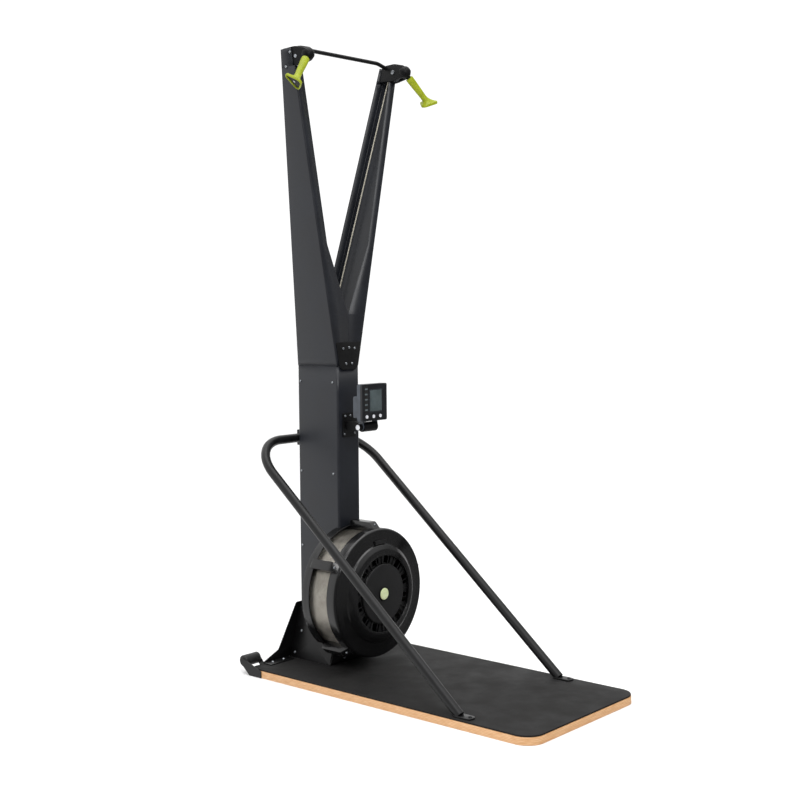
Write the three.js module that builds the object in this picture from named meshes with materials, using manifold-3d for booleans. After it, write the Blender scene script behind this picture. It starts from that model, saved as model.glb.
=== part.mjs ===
// Free-standing ski trainer: a board, a column with two spread arms, pull handles on cords, and an air fan.
// All lengths are in millimetres. +Z is up, the user stands on the -Y side, and the origin lies on the floor
// under the middle of the column.
import * as THREE from "three";
import { mergeVertices } from "three/addons/utils/BufferGeometryUtils.js";
import Module from "manifold-3d";

const wasm = await Module();
wasm.setup();

// Shared by all pieces
const GAP = 0.3;
const OVERRUN = 5;
const MERGE_DISTANCE = 1e-4;

// Board and mat
const BOARD_LENGTH = 1200;
const BOARD_WIDTH = 600;
const BOARD_BACK = 104;
const PLY_THICK = 25;
const FRONT_CORNER = 62;
const BACK_CORNER = 10;
const MAT_THICK = 5;
const MAT_INSET = 1.5;

// Column, of folded sheet
const COLUMN_WIDTH = 110;
const COLUMN_DEPTH = 198;
const COLUMN_TOP = 1078;
const SHEET = 3;
const FOLD_RADIUS = 9;
const BACK_LIP = 14;
const COVER_THICK = 2;
const COVER_MARGIN = 10;

// Base bracket
const BASE_TOP = 222;
const BASE_TOP_HALF = 75;
const BASE_SHOULDER_Z = 66;
const BASE_SHOULDER_HALF = 167;
const BASE_FOOT_HALF = 242;
const BASE_FOOT_LENGTH = 42;
const BASE_FOOT_INNER = 128;
const GUSSET_FOOT_HALF = 112;
const GUSSET_BACK_TOP = 212;
const GUSSET_FRONT_TOP = 108;
const FRONT_SHEET_TOP = 84;
const FRONT_SHEET_TOP_HALF = 88;

// Arms, tapered channels that open inwards
const ARM_TOP = 2141;
const ARM_TOP_HALF = 267;
const ARM_TOP_DEPTH = 57;
const ARM_LEAN = 10;
const ARM_FLANGE = 36;
const CROTCH_RISE = 182;
const WEB_RISE = 240;
const HOUSING_CLEARANCE = 3;

// Joint block and throat plate
const JOINT_BLOCK_HEIGHT = 60;
const JOINT_BLOCK_WALL = 17;
const CORD_HOLE = 10;
const THROAT_BELOW = 12;
const THROAT_ABOVE = 84;
const THROAT_EDGE = 8;

// Cord, pulleys and their housings
const CORD_DIAMETER = 4.4;
const CORD_FROM_BACK = 40;
const CORD_SEAT_BELOW = 38;
const CORD_SEAT_ABOVE = 22;
const PULLEY_Y = -117;
const PULLEY_BELOW = 24;
const PULLEY_GROOVE = 24.5;
const PULLEY_FLANGE = 29;
const PULLEY_WIDTH = 11;
const FLANGE_EDGE = 1.2;
const AXLE_DIAMETER = 8;
const AXLE_HEAD = 3;
const HOUSING_SLOT = 13;
const HOUSING_RADIUS = 32;
const HOUSING_TAB_BACK = -60;
const HOUSING_TAB_HEIGHT = 58;
const NOSE_RADIUS = 22;
const NOSE_Y = -160;
const MOUTH_DIAMETER = 11;

// Crossbar between the arm tops
const CROSSBAR_DIAMETER = 14;
const CROSSBAR_Y = -80;
const CROSSBAR_ABOVE = 9;
const CROSSBAR_DROP = 11;
const CROSSBAR_FALL = 45;
const CROSSBAR_BEND = 60;

// Handles: sizes along the pull direction, from the mouth of the housing's nose. Both are the same piece, and
// each hangs turned its own way on its cord.
const PULL_DIRECTION = [0.649, -0.225, -0.727];
const STOP_LENGTH = 3;
const STOP_RADIUS = 8.5;
const GRIP_LENGTH = 111;
const GRIP_TOP_RADIUS = 13.5;
const GRIP_MIDDLE_RADIUS = 12;
const GRIP_NECK_RADIUS = 10.8;
const GRIP_EDGE = 2;
const GRIP_PLACE_SHARES = { collar: 0.16, middle: 0.5, neck: 0.84 };
const FLARE_REACH = 36;
const FLARE_CORNER = 14;
const FLARE_THICK = 9;
const FLARE_TILT_DEG = 28;
const FLARE_TURN_DEG = { right: -148, left: -111 };
const FLARE_CORNERS = 3;
const FLARE_ROOT_RADIUS = 19;
const FLARE_ROOT_LENGTH = 15;
const FLARE_RIM = 3.5;
const FLARE_RECESS = 6;

// Fan housing, turned about the flywheel's axis
const FAN_Z = 289;
const REAR_SHELL_RADIUS = 228;
const REAR_SHELL_RIM = 13;
const REAR_LIP_LENGTH = 16;
const REAR_LIP_BOTTOM = 120;
const REAR_PAD_RADIUS = 70;
const SHELL_WALL = 3;
const SHAFT_HOLE_RADIUS = 22;
const BAND_RADIUS = REAR_SHELL_RADIUS - 13;
const BAND_THICK = 1.5;
const BAND_LENGTH = 91;
const BAND_COVER = 4;
const FRONT_SHELL_RADIUS = REAR_SHELL_RADIUS - 2;
const FRONT_RIM_LENGTH = 37;
const SHOULDER_RADIUS = FRONT_SHELL_RADIUS - 31;
const STEP_RADIUS = SHOULDER_RADIUS - 25;
const INTAKE_RADIUS = STEP_RADIUS - 31;
const FRONT_FACE_DROP = 8;
const STEP_DROP = 2;
const DOME_DROP = 6;
const DOME_LIP_DROP = 12;
const FACE_BULGE = 3;
const POST_PLACES_DEG = [0, 75, 141, 219, 300];
const POST_SPAN_DEG = 4;
const POST_REACH_RADIUS = REAR_SHELL_RADIUS + 20;

// Intake grille, hub cover and damper
const GRILLE_DEPTH = 6;
const GRILLE_RECESS = 6;
const GRILLE_RING = 5;
const RIB_COUNT = 24;
const RIB_THICK = 3;
const HUB_RADIUS = INTAKE_RADIUS - 35;
const HUB_THICK = 5;
const HUB_FILLET = 3;
const CAP_RADIUS = 25;
const CAP_HEIGHT = 5;
const CAP_TOP_SHARE = 0.75;
const DAMPER_THICK = 2;
const DAMPER_WINDOWS = 12;
const DAMPER_WINDOW_SHARE = 0.5;
const DAMPER_SWING_DEG = 12;
const LEVER_SIZE = 14;
const LEVER_SPAN_DEG = 17;
const LEVER_NECK_DEG = 6;
const LEVER_NECK = 4;
const LEVER_THICK = 5;
const SLOT_MARGIN_DEG = 1;

// Flywheel, shaft, bearings and their bracket
const SHAFT_RADIUS = 9;
const ROTOR_RADIUS = BAND_RADIUS - 12;
const ROTOR_DISC = 5;
const ROTOR_HUB_RADIUS = 48;
const ROTOR_LENGTH = 66;
const ROTOR_FRONT_CLEARANCE = 8;
const VANE_COUNT = 12;
const VANE_THICK = 3;
const VANE_INNER = ROTOR_RADIUS - 83;
const BEARING_RADIUS = 20;
const BEARING_WIDTH = 10;
const DRIVE_WALL_WIDTH = 72;
const DRIVE_WALL_HEIGHT = 110;
const DRIVE_LENGTH = 156;
const DRIVE_FLOOR = 8;
const DRUM_RADIUS = 25;
const DRUM_FLANGE_RADIUS = 33;
const DRUM_FLANGE = 3;
const DRUM_WIDTH = 40;
const DRUM_SPACING = 55;

// Return pulley and its shock cord
const RETURN_Z = 1000;
const RETURN_GROOVE = 14;
const RETURN_FLANGE = 19;
const RETURN_WIDTH = 10;
const SHOCK_CORD_DIAMETER = 7;

// Monitor and its arm
const MONITOR_WIDTH = 127;
const MONITOR_BOTTOM = 892;
const MONITOR_HEIGHT = 128;
const MONITOR_FACE = -222;
const BEZEL_THICK = 9;
const CASE_RIM = 15;
const CASE_WALL = 3;
const HUMP_DEPTH = 22;
const HUMP_INSET = 4;
const HUMP_BOTTOM = 10;
const HUMP_HEIGHT = 76;
const CASE_CORNER = 6;
const PIVOT_Y = -191;
const PIVOT_Z = 870;
const PIVOT_RADIUS = 17;
const PIVOT_HALF = 33;
const LUG_THICK = 4;
const LUG_RADIUS = 12;
const LUG_CHAMFER = 4.5;
const PIVOT_PIN = 8;
const NECK_WIDTH = 40;
const NECK_HEIGHT = 28;
const KNOB_RADIUS = 11;
const KNOB_LENGTH = 16;
const KNOB_COLLAR = 4;
const KNOB_FLUTES = 8;
const KNOB_FLUTE_RADIUS = 2.4;
const MOUNT_PLATE_HALF = 34;
const MOUNT_PLATE_BELOW = 42;
const MOUNT_PLATE_ABOVE = 44;
const LENS_LEFT = -26;
const LENS_WIDTH = 66;
const LENS_BOTTOM = 30;
const LENS_HEIGHT = 80;
const LENS_THICK = 2;
const KEY_STRIP_LEFT = -53;
const KEY_STRIP_WIDTH = 20;
const KEY_BOTTOM = 28;
const KEY_STRIP_HEIGHT = 94;
const BUTTON_RADIUS = 6;
const BUTTON_PITCH = 34.5;
const BUTTON_SHIFT = -6;
const BUTTON_ABOVE = 15.5;
const BUTTON_HEIGHT = 9;
const BUTTON_PROUD = 3;
const BUTTON_COUNT = 3;

// Brace tube, its feet and its clamp
const TUBE_DIAMETER = 32;
const TUBE_HALF_SPAN = 270;
const TUBE_FOOT_Y = -806;
const TUBE_CROSSING_Z = 814;
const TUBE_BEND = 150;
const FOOT_PLATE_LENGTH = 52;
const FOOT_PLATE_WIDTH = 36;
const FOOT_PLATE_THICK = 5;
const FOOT_PLATE_BACK = 14;
const CLAMP_WIDTH = 44;
const CLAMP_HEIGHT = 56;

// Transport rollers and their brackets
const ROLLER_RADIUS = 20;
const ROLLER_LENGTH = 68;
const ROLLER_Y = 141;
const ROLLER_Z = 45;
const ROLLER_BRACKET_FRONT = 48;
const ROLLER_EYE_RADIUS = 12;
const ROLLER_WEB_TOP = 24;

// Facets on round shapes
const ROUND_LARGE = 36;
const ROUND_MEDIUM = 20;
const ROUND_SMALL = 16;
const ROUND_TUBE = 12;
const ROUND_CORD = 8;
const CORNER_CURVE = 3;
const BEND_STEP_DEG = 15;

// Places worked out from the sizes above
const MAT_TOP = PLY_THICK + GAP + MAT_THICK;
const STAND_Z = MAT_TOP + GAP;
const HALF_WIDTH = COLUMN_WIDTH / 2;
const COLUMN_FRONT = -COLUMN_DEPTH / 2;
const COLUMN_BACK = COLUMN_DEPTH / 2;
const ARM_SLOPE = (ARM_TOP_HALF - HALF_WIDTH) / (ARM_TOP - COLUMN_TOP);
const ARM_BACK_SLOPE = (COLUMN_DEPTH + ARM_LEAN - ARM_TOP_DEPTH) / (ARM_TOP - COLUMN_TOP);
const ARM_ANGLE = Math.atan(ARM_SLOPE);
const ARM_CROTCH = COLUMN_TOP + CROTCH_RISE;
const ARM_WEB_TOP = ARM_CROTCH + WEB_RISE;
const PULLEY_Z = ARM_TOP - PULLEY_BELOW;
const CROSSBAR_Z = ARM_TOP + CROSSBAR_ABOVE;
const PULLEY_X = HALF_WIDTH - ARM_FLANGE / 2 + (PULLEY_Z - COLUMN_TOP) * ARM_SLOPE;
const HOUSING_HALF = (ARM_FLANGE / 2 - SHEET) * Math.cos(ARM_ANGLE) - GAP;
const PULL = new THREE.Vector3(...PULL_DIRECTION).normalize();
const FAN_BACK = COLUMN_FRONT - SHEET - 2 * GAP;
const BAND_BACK = FAN_BACK - SHELL_WALL - GAP;
const BAND_FRONT = BAND_BACK - BAND_LENGTH;
const RIM_BACK = BAND_FRONT + BAND_COVER;
const RIM_FRONT = RIM_BACK - FRONT_RIM_LENGTH;
const FACE_FRONT = RIM_FRONT - FRONT_FACE_DROP;
const STEP_FRONT = FACE_FRONT - STEP_DROP;
const DOME_FRONT = STEP_FRONT - DOME_DROP;
const INTAKE_FRONT = DOME_FRONT - DOME_LIP_DROP;
const LEVER_RADIUS = STEP_RADIUS + SHELL_WALL + 2 * GAP + LEVER_SIZE / 2;
const DRIVE_FRONT = COLUMN_FRONT + SHEET + GAP;
const DRIVE_BACK = DRIVE_FRONT + DRIVE_LENGTH;
const DRIVE_TOP = FAN_Z + DRIVE_WALL_HEIGHT / 2;

// Materials
const finish = (color, roughness, metalness) => ({ color, roughness, metalness });
const PLYWOOD = finish("#d79a63", 0.6, 0);
const RUBBER = finish("#1a1b1b", 0.9, 0);
const BLACK_PAINT = finish("#1c1d20", 0.45, 0.2);
const SIDE_PAINT = finish("#2c2f33", 0.45, 0.2);
const BLACK_PLASTIC = finish("#17181a", 0.5, 0);
const GREY_PLASTIC = finish("#3b3e42", 0.5, 0);
const SILVER = finish("#b9b4a8", 0.35, 0.9);
const STEEL = finish("#8d9094", 0.35, 0.9);
const LIME = finish("#a9b22a", 0.55, 0);
const PALE_CAP = finish("#dfe3b8", 0.5, 0);
const CORD = finish("#b8b3a4", 0.8, 0);
const GLASS = finish("#46504f", 0.15, 0);

// The whole machine, and the group that carries the fan on its axis
const machine = new THREE.Group();
const fan = new THREE.Group();
fan.position.z = FAN_Z;
machine.add(fan);

// A geometry as a closed solid whose faces point out.
function solidOf(geometry) {
  if (geometry instanceof wasm.Manifold) return geometry;
  const bare = new THREE.BufferGeometry();
  bare.setAttribute("position", geometry.getAttribute("position").clone());
  if (geometry.index) bare.setIndex(geometry.index.clone());
  const merged = mergeVertices(bare, MERGE_DISTANCE);
  const vertProperties = new Float32Array(merged.getAttribute("position").array);
  const corner = (i) => new THREE.Vector3().fromArray(vertProperties, 3 * i);
  const faces = [];
  let volume = 0;
  for (let i = 0; i < merged.index.count; i += 3) {
    const [a, b, c] = [0, 1, 2].map((k) => merged.index.getX(i + k));
    if (a === b || b === c || c === a) continue;
    faces.push([a, b, c]);
    volume += corner(a).dot(corner(b).cross(corner(c)));
  }
  const triVerts = new Uint32Array(faces.flatMap(([a, b, c]) => (volume < 0 ? [a, c, b] : [a, b, c])));
  return new wasm.Manifold(new wasm.Mesh({ numProp: 3, vertProperties, triVerts }));
}

// A solid as a geometry that a mesh can show.
function geometryOf(solid) {
  const mesh = solid.getMesh();
  const geometry = new THREE.BufferGeometry();
  geometry.setAttribute("position", new THREE.BufferAttribute(new Float32Array(mesh.vertProperties), 3));
  geometry.setIndex(new THREE.BufferAttribute(new Uint32Array(mesh.triVerts), 1));
  geometry.computeVertexNormals();
  return geometry;
}

const joined = (...shapes) => geometryOf(shapes.map(solidOf).reduce((a, b) => a.add(b)));
const cut = (body, ...tools) => geometryOf(tools.map(solidOf).reduce((a, b) => a.subtract(b), solidOf(body)));

// Adds one named piece to a group.
function add(name, shape, look, group = machine) {
  const mesh = new THREE.Mesh(geometryOf(solidOf(shape)), new THREE.MeshStandardMaterial(look));
  mesh.name = name;
  group.add(mesh);
}

// A group on the right at a place and turn, and one on the left that mirrors it.
function makeSides(place = new THREE.Vector3(), turn = new THREE.Quaternion()) {
  return [["right_", 1], ["left_", -1]].map(([prefix, way]) => {
    const side = new THREE.Group();
    const group = new THREE.Group();
    side.scale.x = way;
    group.position.copy(place);
    group.quaternion.copy(turn);
    machine.add(side.add(group));
    return { prefix, group };
  });
}

// Adds the same piece to both of a pair of groups.
function addPair(name, shape, look, sides = UPRIGHT) {
  for (const { prefix, group } of sides) add(prefix + name, shape, look, group);
}

const UPRIGHT = makeSides();

// An outline through the given points.
function outline(points) {
  return new THREE.Shape(points.map(([u, v]) => new THREE.Vector2(u, v)));
}

// A rectangle with its corners rounded, in the order low-low, high-low, high-high, low-high.
function roundedRectangle(u0, v0, u1, v1, radii) {
  const [a, b, c, d] = Array.isArray(radii) ? radii : [radii, radii, radii, radii];
  const shape = new THREE.Shape();
  shape.absarc(u0 + a, v0 + a, a, Math.PI, 1.5 * Math.PI);
  shape.absarc(u1 - b, v0 + b, b, 1.5 * Math.PI, 2 * Math.PI);
  shape.absarc(u1 - c, v1 - c, c, 0, 0.5 * Math.PI);
  shape.absarc(u0 + d, v1 - d, d, 0.5 * Math.PI, Math.PI);
  return shape;
}

function extruded(shape, depth) {
  return new THREE.ExtrudeGeometry(shape, { depth, bevelEnabled: false, curveSegments: CORNER_CURVE });
}

// Lies flat: the outline is in X and Y, and the plate rises from bottom.
const laid = (shape, bottom, thick) => extruded(shape, thick).translate(0, 0, bottom);

// Faces the user: the outline is in X and Z, and the plate runs forwards from its back face.
const facing = (shape, back, thick) => extruded(shape, thick).rotateX(Math.PI / 2).translate(0, back, 0);

// Stands sideways: the outline is in Y and Z, and the plate runs to +X from its left face.
function sideways(shape, left, thick) {
  const turn = new THREE.Matrix4().set(0, 0, 1, left, 1, 0, 0, 0, 0, 1, 0, 0, 0, 0, 0, 1);
  return extruded(shape, thick).applyMatrix4(turn);
}

// A box between two corners.
function box(x0, y0, z0, x1, y1, z1) {
  const shape = new THREE.BoxGeometry(x1 - x0, y1 - y0, z1 - z0);
  return shape.translate((x0 + x1) / 2, (y0 + y1) / 2, (z0 + z1) / 2);
}

// A round bar from one point to another.
function rod(from, to, radius, sides = ROUND_SMALL) {
  const [a, b] = [new THREE.Vector3(...from), new THREE.Vector3(...to)];
  const along = b.clone().sub(a);
  const shape = new THREE.CylinderGeometry(radius, radius, along.length(), sides);
  const turn = new THREE.Quaternion().setFromUnitVectors(new THREE.Vector3(0, 1, 0), along.normalize());
  shape.applyQuaternion(turn);
  return shape.translate(...a.add(b).multiplyScalar(0.5).toArray());
}

// A closed profile of radius and distance, turned about the Y direction.
function turned(profile, sides = ROUND_LARGE) {
  const points = [...profile, profile[0]].map(([r, y]) => new THREE.Vector2(r, y));
  return new THREE.LatheGeometry(points, sides);
}

// A ring or washer about the fan's axis, between two radii and two places along Y.
const ring = (inner, outer, y0, y1, sides) =>
  turned([[inner, y0], [outer, y0], [outer, y1], [inner, y1]], sides);

// Leans a shape in X and Y as it rises, and leaves it in place at the given height.
function leaned(shape, height, slopeX, slopeY = 0) {
  const lean = new THREE.Matrix4().identity();
  lean.elements[8] = slopeX;
  lean.elements[9] = slopeY;
  lean.setPosition(-slopeX * height, -slopeY * height, 0);
  return shape.applyMatrix4(lean);
}

// A path with a straight step between each two of its points.
class PointPath extends THREE.Curve {
  constructor(points) {
    super();
    this.points = points.map((p) => new THREE.Vector3(...p));
    this.steps = points.length - 1;
  }

  getPoint(share) {
    const place = share * this.steps;
    const i = Math.min(Math.floor(place), this.steps - 1);
    return this.points[i].clone().lerp(this.points[i + 1], place - i);
  }

  getPointAt(share) {
    return this.getPoint(share);
  }

  getTangentAt(share) {
    return this.getTangent(share);
  }
}

// The points of a path whose corners are rounded off with arcs of one radius.
function roundedPath(points, radius) {
  const corners = points.map((p) => new THREE.Vector3(...p));
  const path = [corners[0]];
  for (let i = 1; i < corners.length - 1; i++) {
    const corner = corners[i];
    const [before, after] = [corners[i - 1], corners[i + 1]].map((p) => p.clone().sub(corner).normalize());
    const half = before.angleTo(after) / 2;
    const start = corner.clone().addScaledVector(before, radius / Math.tan(half));
    const inward = before.clone().add(after).normalize();
    const middle = corner.clone().addScaledVector(inward, radius / Math.sin(half));
    const axis = new THREE.Vector3().crossVectors(after, before).normalize();
    const turn = Math.PI - 2 * half;
    const steps = Math.max(1, Math.round(turn / THREE.MathUtils.degToRad(BEND_STEP_DEG)));
    for (let k = 0; k <= steps; k++) {
      path.push(start.clone().sub(middle).applyAxisAngle(axis, (turn * k) / steps).add(middle));
    }
  }
  path.push(corners.at(-1));
  return path.filter((p, i) => i === 0 || p.distanceTo(path[i - 1]) > MERGE_DISTANCE);
}

// A round tube or cord along a path of points.
function tubeAlong(points, radius, sides) {
  const section = new THREE.Shape().absarc(0, 0, radius, 0, 2 * Math.PI);
  const path = new PointPath(points);
  const settings = { extrudePath: path, steps: path.steps, curveSegments: sides / 2 };
  return new THREE.ExtrudeGeometry(section, settings);
}

// Board and mat
function makeBoard() {
  const half = BOARD_WIDTH / 2;
  const front = BOARD_BACK - BOARD_LENGTH;
  const corners = (inset) => [FRONT_CORNER, FRONT_CORNER, BACK_CORNER, BACK_CORNER].map((r) => r - inset);
  const flat = (inset) =>
    roundedRectangle(-half + inset, front + inset, half - inset, BOARD_BACK - inset, corners(inset));
  add("plywood_board", laid(flat(0), 0, PLY_THICK), PLYWOOD);
  add("rubber_mat", laid(flat(MAT_INSET), PLY_THICK + GAP, MAT_THICK), RUBBER);
}

// Base bracket: a spread back sheet with feet, two leaning side sheets and a low front sheet
function makeBase() {
  const back = COLUMN_BACK + GAP + SHEET;
  const rise = [
    [BASE_FOOT_HALF, STAND_Z],
    [BASE_FOOT_HALF, STAND_Z + SHEET],
    [BASE_SHOULDER_HALF, BASE_SHOULDER_Z],
    [BASE_TOP_HALF, BASE_TOP],
  ];
  const spread = outline([...rise, ...rise.map(([x, z]) => [-x, z]).reverse()]);
  const foot = box(BASE_FOOT_INNER, back - BASE_FOOT_LENGTH, STAND_Z, BASE_FOOT_HALF, back, STAND_Z + SHEET);
  const backSheet = joined(facing(spread, back, SHEET), foot, foot.clone().scale(-1, 1, 1));
  add("base_back_plate", backSheet, BLACK_PAINT);

  const inside = COLUMN_BACK - GAP;
  const gusset = outline([
    [COLUMN_FRONT, STAND_Z],
    [inside, STAND_Z],
    [inside, GUSSET_BACK_TOP],
    [COLUMN_FRONT, GUSSET_FRONT_TOP],
  ]);
  const slope = -(GUSSET_FOOT_HALF - HALF_WIDTH - GAP - SHEET) / (GUSSET_BACK_TOP - STAND_Z);
  const leaning = leaned(sideways(gusset, GUSSET_FOOT_HALF - SHEET, SHEET), STAND_Z, slope);
  const clear = box(0, COLUMN_FRONT, STAND_Z, HALF_WIDTH + GAP, COLUMN_BACK, GUSSET_BACK_TOP + OVERRUN);
  const footFront = inside - BASE_FOOT_LENGTH;
  const footRoom = box(BASE_FOOT_INNER - GAP, footFront, 0, BASE_FOOT_HALF, COLUMN_BACK, BASE_TOP);
  addPair("base_gusset", cut(leaning, clear, footRoom), BLACK_PAINT);

  const low = outline([
    [-GUSSET_FOOT_HALF, STAND_Z],
    [GUSSET_FOOT_HALF, STAND_Z],
    [FRONT_SHEET_TOP_HALF, FRONT_SHEET_TOP],
    [-FRONT_SHEET_TOP_HALF, FRONT_SHEET_TOP],
  ]);
  add("base_front_plate", facing(low, COLUMN_FRONT - GAP, SHEET), BLACK_PAINT);
}

// Column: a folded shell open at the back, and its cover
function makeColumn() {
  const height = COLUMN_TOP - STAND_Z;
  const inset = (d, r) =>
    roundedRectangle(-HALF_WIDTH + d, COLUMN_FRONT + d, HALF_WIDTH - d, COLUMN_BACK - d, r);
  const outer = laid(inset(0, FOLD_RADIUS), STAND_Z, height);
  const inner = laid(inset(SHEET, FOLD_RADIUS - SHEET), 0, COLUMN_TOP + OVERRUN);
  const mouth = HALF_WIDTH - FOLD_RADIUS - BACK_LIP;
  const opening = box(-mouth, 0, 0, mouth, COLUMN_BACK + OVERRUN, COLUMN_TOP + OVERRUN);
  const shaft = rod([0, COLUMN_FRONT - OVERRUN, FAN_Z], [0, 0, FAN_Z], SHAFT_HOLE_RADIUS);
  add("column_shell", cut(outer, inner, opening, shaft), SIDE_PAINT);

  const [low, high] = [BASE_TOP + COVER_MARGIN, COLUMN_TOP - COVER_MARGIN];
  const edge = HALF_WIDTH - FOLD_RADIUS;
  const cover = roundedRectangle(-edge, low, edge, high, COVER_THICK);
  add("column_back_cover", facing(cover, COLUMN_BACK + GAP + COVER_THICK, COVER_THICK), BLACK_PAINT);
}

// Arms: tapered channels, whose front flanges widen to meet below the crotch and end below the housings
function makeArms() {
  const topFront = COLUMN_FRONT - ARM_LEAN;
  const sides = (d, over) => {
    const run = over / (ARM_TOP - COLUMN_TOP);
    const lean = ARM_LEAN * run;
    const taper = (COLUMN_BACK - topFront - ARM_TOP_DEPTH) * run;
    return outline([
      [COLUMN_BACK - d + taper, COLUMN_TOP + GAP - over],
      [COLUMN_FRONT + d + lean, COLUMN_TOP + GAP - over],
      [topFront + d - lean, ARM_TOP + over],
      [topFront + ARM_TOP_DEPTH - d - taper, ARM_TOP + over],
    ]);
  };
  const outer = sideways(sides(0, 0), HALF_WIDTH - ARM_FLANGE, ARM_FLANGE);
  const room = ARM_FLANGE + OVERRUN - SHEET;
  const inner = sideways(sides(SHEET, OVERRUN), HALF_WIDTH - ARM_FLANGE - OVERRUN, room);
  const cutBottom = PULLEY_Z - HOUSING_RADIUS - HOUSING_CLEARANCE;
  const front = topFront - OVERRUN;
  const window = box(0, front, cutBottom, HALF_WIDTH - SHEET, topFront + 2 * SHEET, ARM_TOP + OVERRUN);
  const channel = leaned(cut(outer, inner, window), COLUMN_TOP, ARM_SLOPE);

  const bottom = COLUMN_TOP + GAP;
  const edge = HALF_WIDTH - ARM_FLANGE;
  const spread = edge + (ARM_WEB_TOP - COLUMN_TOP) * ARM_SLOPE;
  const web = outline([
    [GAP / 2, bottom],
    [edge + SHEET, bottom],
    [spread + SHEET, ARM_WEB_TOP],
    [spread, ARM_WEB_TOP],
    [GAP / 2, ARM_CROTCH],
  ]);
  const flat = facing(web, COLUMN_FRONT + SHEET + GAP, SHEET);
  const tilt = -ARM_LEAN / (ARM_TOP - COLUMN_TOP);
  addPair("arm", joined(channel, leaned(flat, COLUMN_TOP, 0, tilt)), SIDE_PAINT);
}

// Joint block inside the throat, and the screwed plate over its front
function makeJoint() {
  const half = HALF_WIDTH - SHEET - GAP;
  const depth = COLUMN_DEPTH / 2 - SHEET - GAP;
  const bottom = COLUMN_TOP - JOINT_BLOCK_HEIGHT / 2;
  const top = COLUMN_TOP + JOINT_BLOCK_HEIGHT / 2;
  const backLean = (top - COLUMN_TOP) * ARM_BACK_SLOPE;
  const corner = FOLD_RADIUS - SHEET;
  const body = laid(roundedRectangle(-half, -depth, half, depth - backLean, corner), bottom, top - bottom);
  const wall = JOINT_BLOCK_WALL;
  const pocket = box(-half + wall, -depth + wall, 0, half - wall, depth - backLean - wall, top + OVERRUN);
  const x = HALF_WIDTH - ARM_FLANGE / 2;
  const y = COLUMN_BACK - CORD_FROM_BACK;
  const hole = rod([x, y, bottom - OVERRUN], [x, y, top + OVERRUN], CORD_HOLE / 2, ROUND_TUBE);
  add("arm_joint_block", cut(body, pocket, hole, hole.clone().scale(-1, 1, 1)), STEEL);

  const [low, high] = [COLUMN_TOP - THROAT_BELOW, COLUMN_TOP + THROAT_ABOVE];
  const flare = HALF_WIDTH + THROAT_ABOVE * ARM_SLOPE - THROAT_EDGE;
  const straight = HALF_WIDTH - FOLD_RADIUS;
  const shape = outline([
    [-straight + THROAT_BELOW, low],
    [straight - THROAT_BELOW, low],
    [straight, COLUMN_TOP],
    [flare, high],
    [-flare, high],
    [-straight, COLUMN_TOP],
  ]);
  const back = COLUMN_FRONT - (THROAT_ABOVE * ARM_LEAN) / (ARM_TOP - COLUMN_TOP) - GAP;
  add("throat_plate", facing(shape, back, SHEET), BLACK_PAINT);
}

// Top pulleys: each turns on an axle across its housing, which leans with the arm
function makePulleys() {
  const place = new THREE.Vector3(PULLEY_X, PULLEY_Y, PULLEY_Z);
  const lean = new THREE.Quaternion().setFromAxisAngle(new THREE.Vector3(0, 1, 0), ARM_ANGLE);
  const sides = makeSides(place, lean);
  const half = PULLEY_WIDTH / 2;
  const bore = AXLE_DIAMETER / 2 + GAP;
  const groove = CORD_DIAMETER / 2 + 2 * GAP;
  const profile = [
    [bore, -half],
    [PULLEY_FLANGE, -half],
    [PULLEY_FLANGE, -half + FLANGE_EDGE],
    [PULLEY_GROOVE, -groove],
    [PULLEY_GROOVE, groove],
    [PULLEY_FLANGE, half - FLANGE_EDGE],
    [PULLEY_FLANGE, half],
    [bore, half],
  ];
  addPair("pulley", turned(profile, ROUND_MEDIUM).rotateZ(Math.PI / 2), GREY_PLASTIC, sides);

  const headEnd = -HOUSING_HALF - GAP;
  const bar = joined(
    rod([headEnd - AXLE_HEAD, 0, 0], [HOUSING_HALF, 0, 0], AXLE_DIAMETER / 2),
    rod([headEnd - AXLE_HEAD, 0, 0], [headEnd, 0, 0], AXLE_DIAMETER),
  );
  addPair("pulley_axle", bar, STEEL, sides);

  const noseY = NOSE_Y - PULLEY_Y;
  const tabY = HOUSING_TAB_BACK - PULLEY_Y;
  const cheeks = outline([
    [tabY, -HOUSING_TAB_HEIGHT / 2],
    [tabY, HOUSING_TAB_HEIGHT / 2],
    [0, HOUSING_RADIUS],
    [noseY, NOSE_RADIUS],
    [noseY, -NOSE_RADIUS],
    [0, -HOUSING_RADIUS],
  ]);
  const plates = sideways(cheeks, -HOUSING_HALF, 2 * HOUSING_HALF);
  const ball = new THREE.SphereGeometry(NOSE_RADIUS, ROUND_MEDIUM, ROUND_CORD).translate(0, noseY, 0);
  const slotHalf = HOUSING_SLOT / 2;
  const slot = box(-slotHalf, noseY, -2 * HOUSING_RADIUS, slotHalf, tabY - SHEET, 2 * HOUSING_RADIUS);
  const axleHole = rod([-NOSE_RADIUS, 0, 0], [NOSE_RADIUS, 0, 0], AXLE_DIAMETER / 2 + GAP);
  const way = PULL.clone().applyQuaternion(lean.clone().invert());
  const nose = new THREE.Vector3(0, noseY, 0);
  const boreStart = nose.clone().addScaledVector(way, -MOUTH_DIAMETER);
  const boreEnd = nose.clone().addScaledVector(way, 2 * NOSE_RADIUS);
  const mouth = rod(boreStart.toArray(), boreEnd.toArray(), MOUTH_DIAMETER / 2, ROUND_TUBE);
  addPair("pulley_housing", cut(joined(plates, ball), slot, axleHole, mouth), BLACK_PLASTIC, sides);
}

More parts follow.
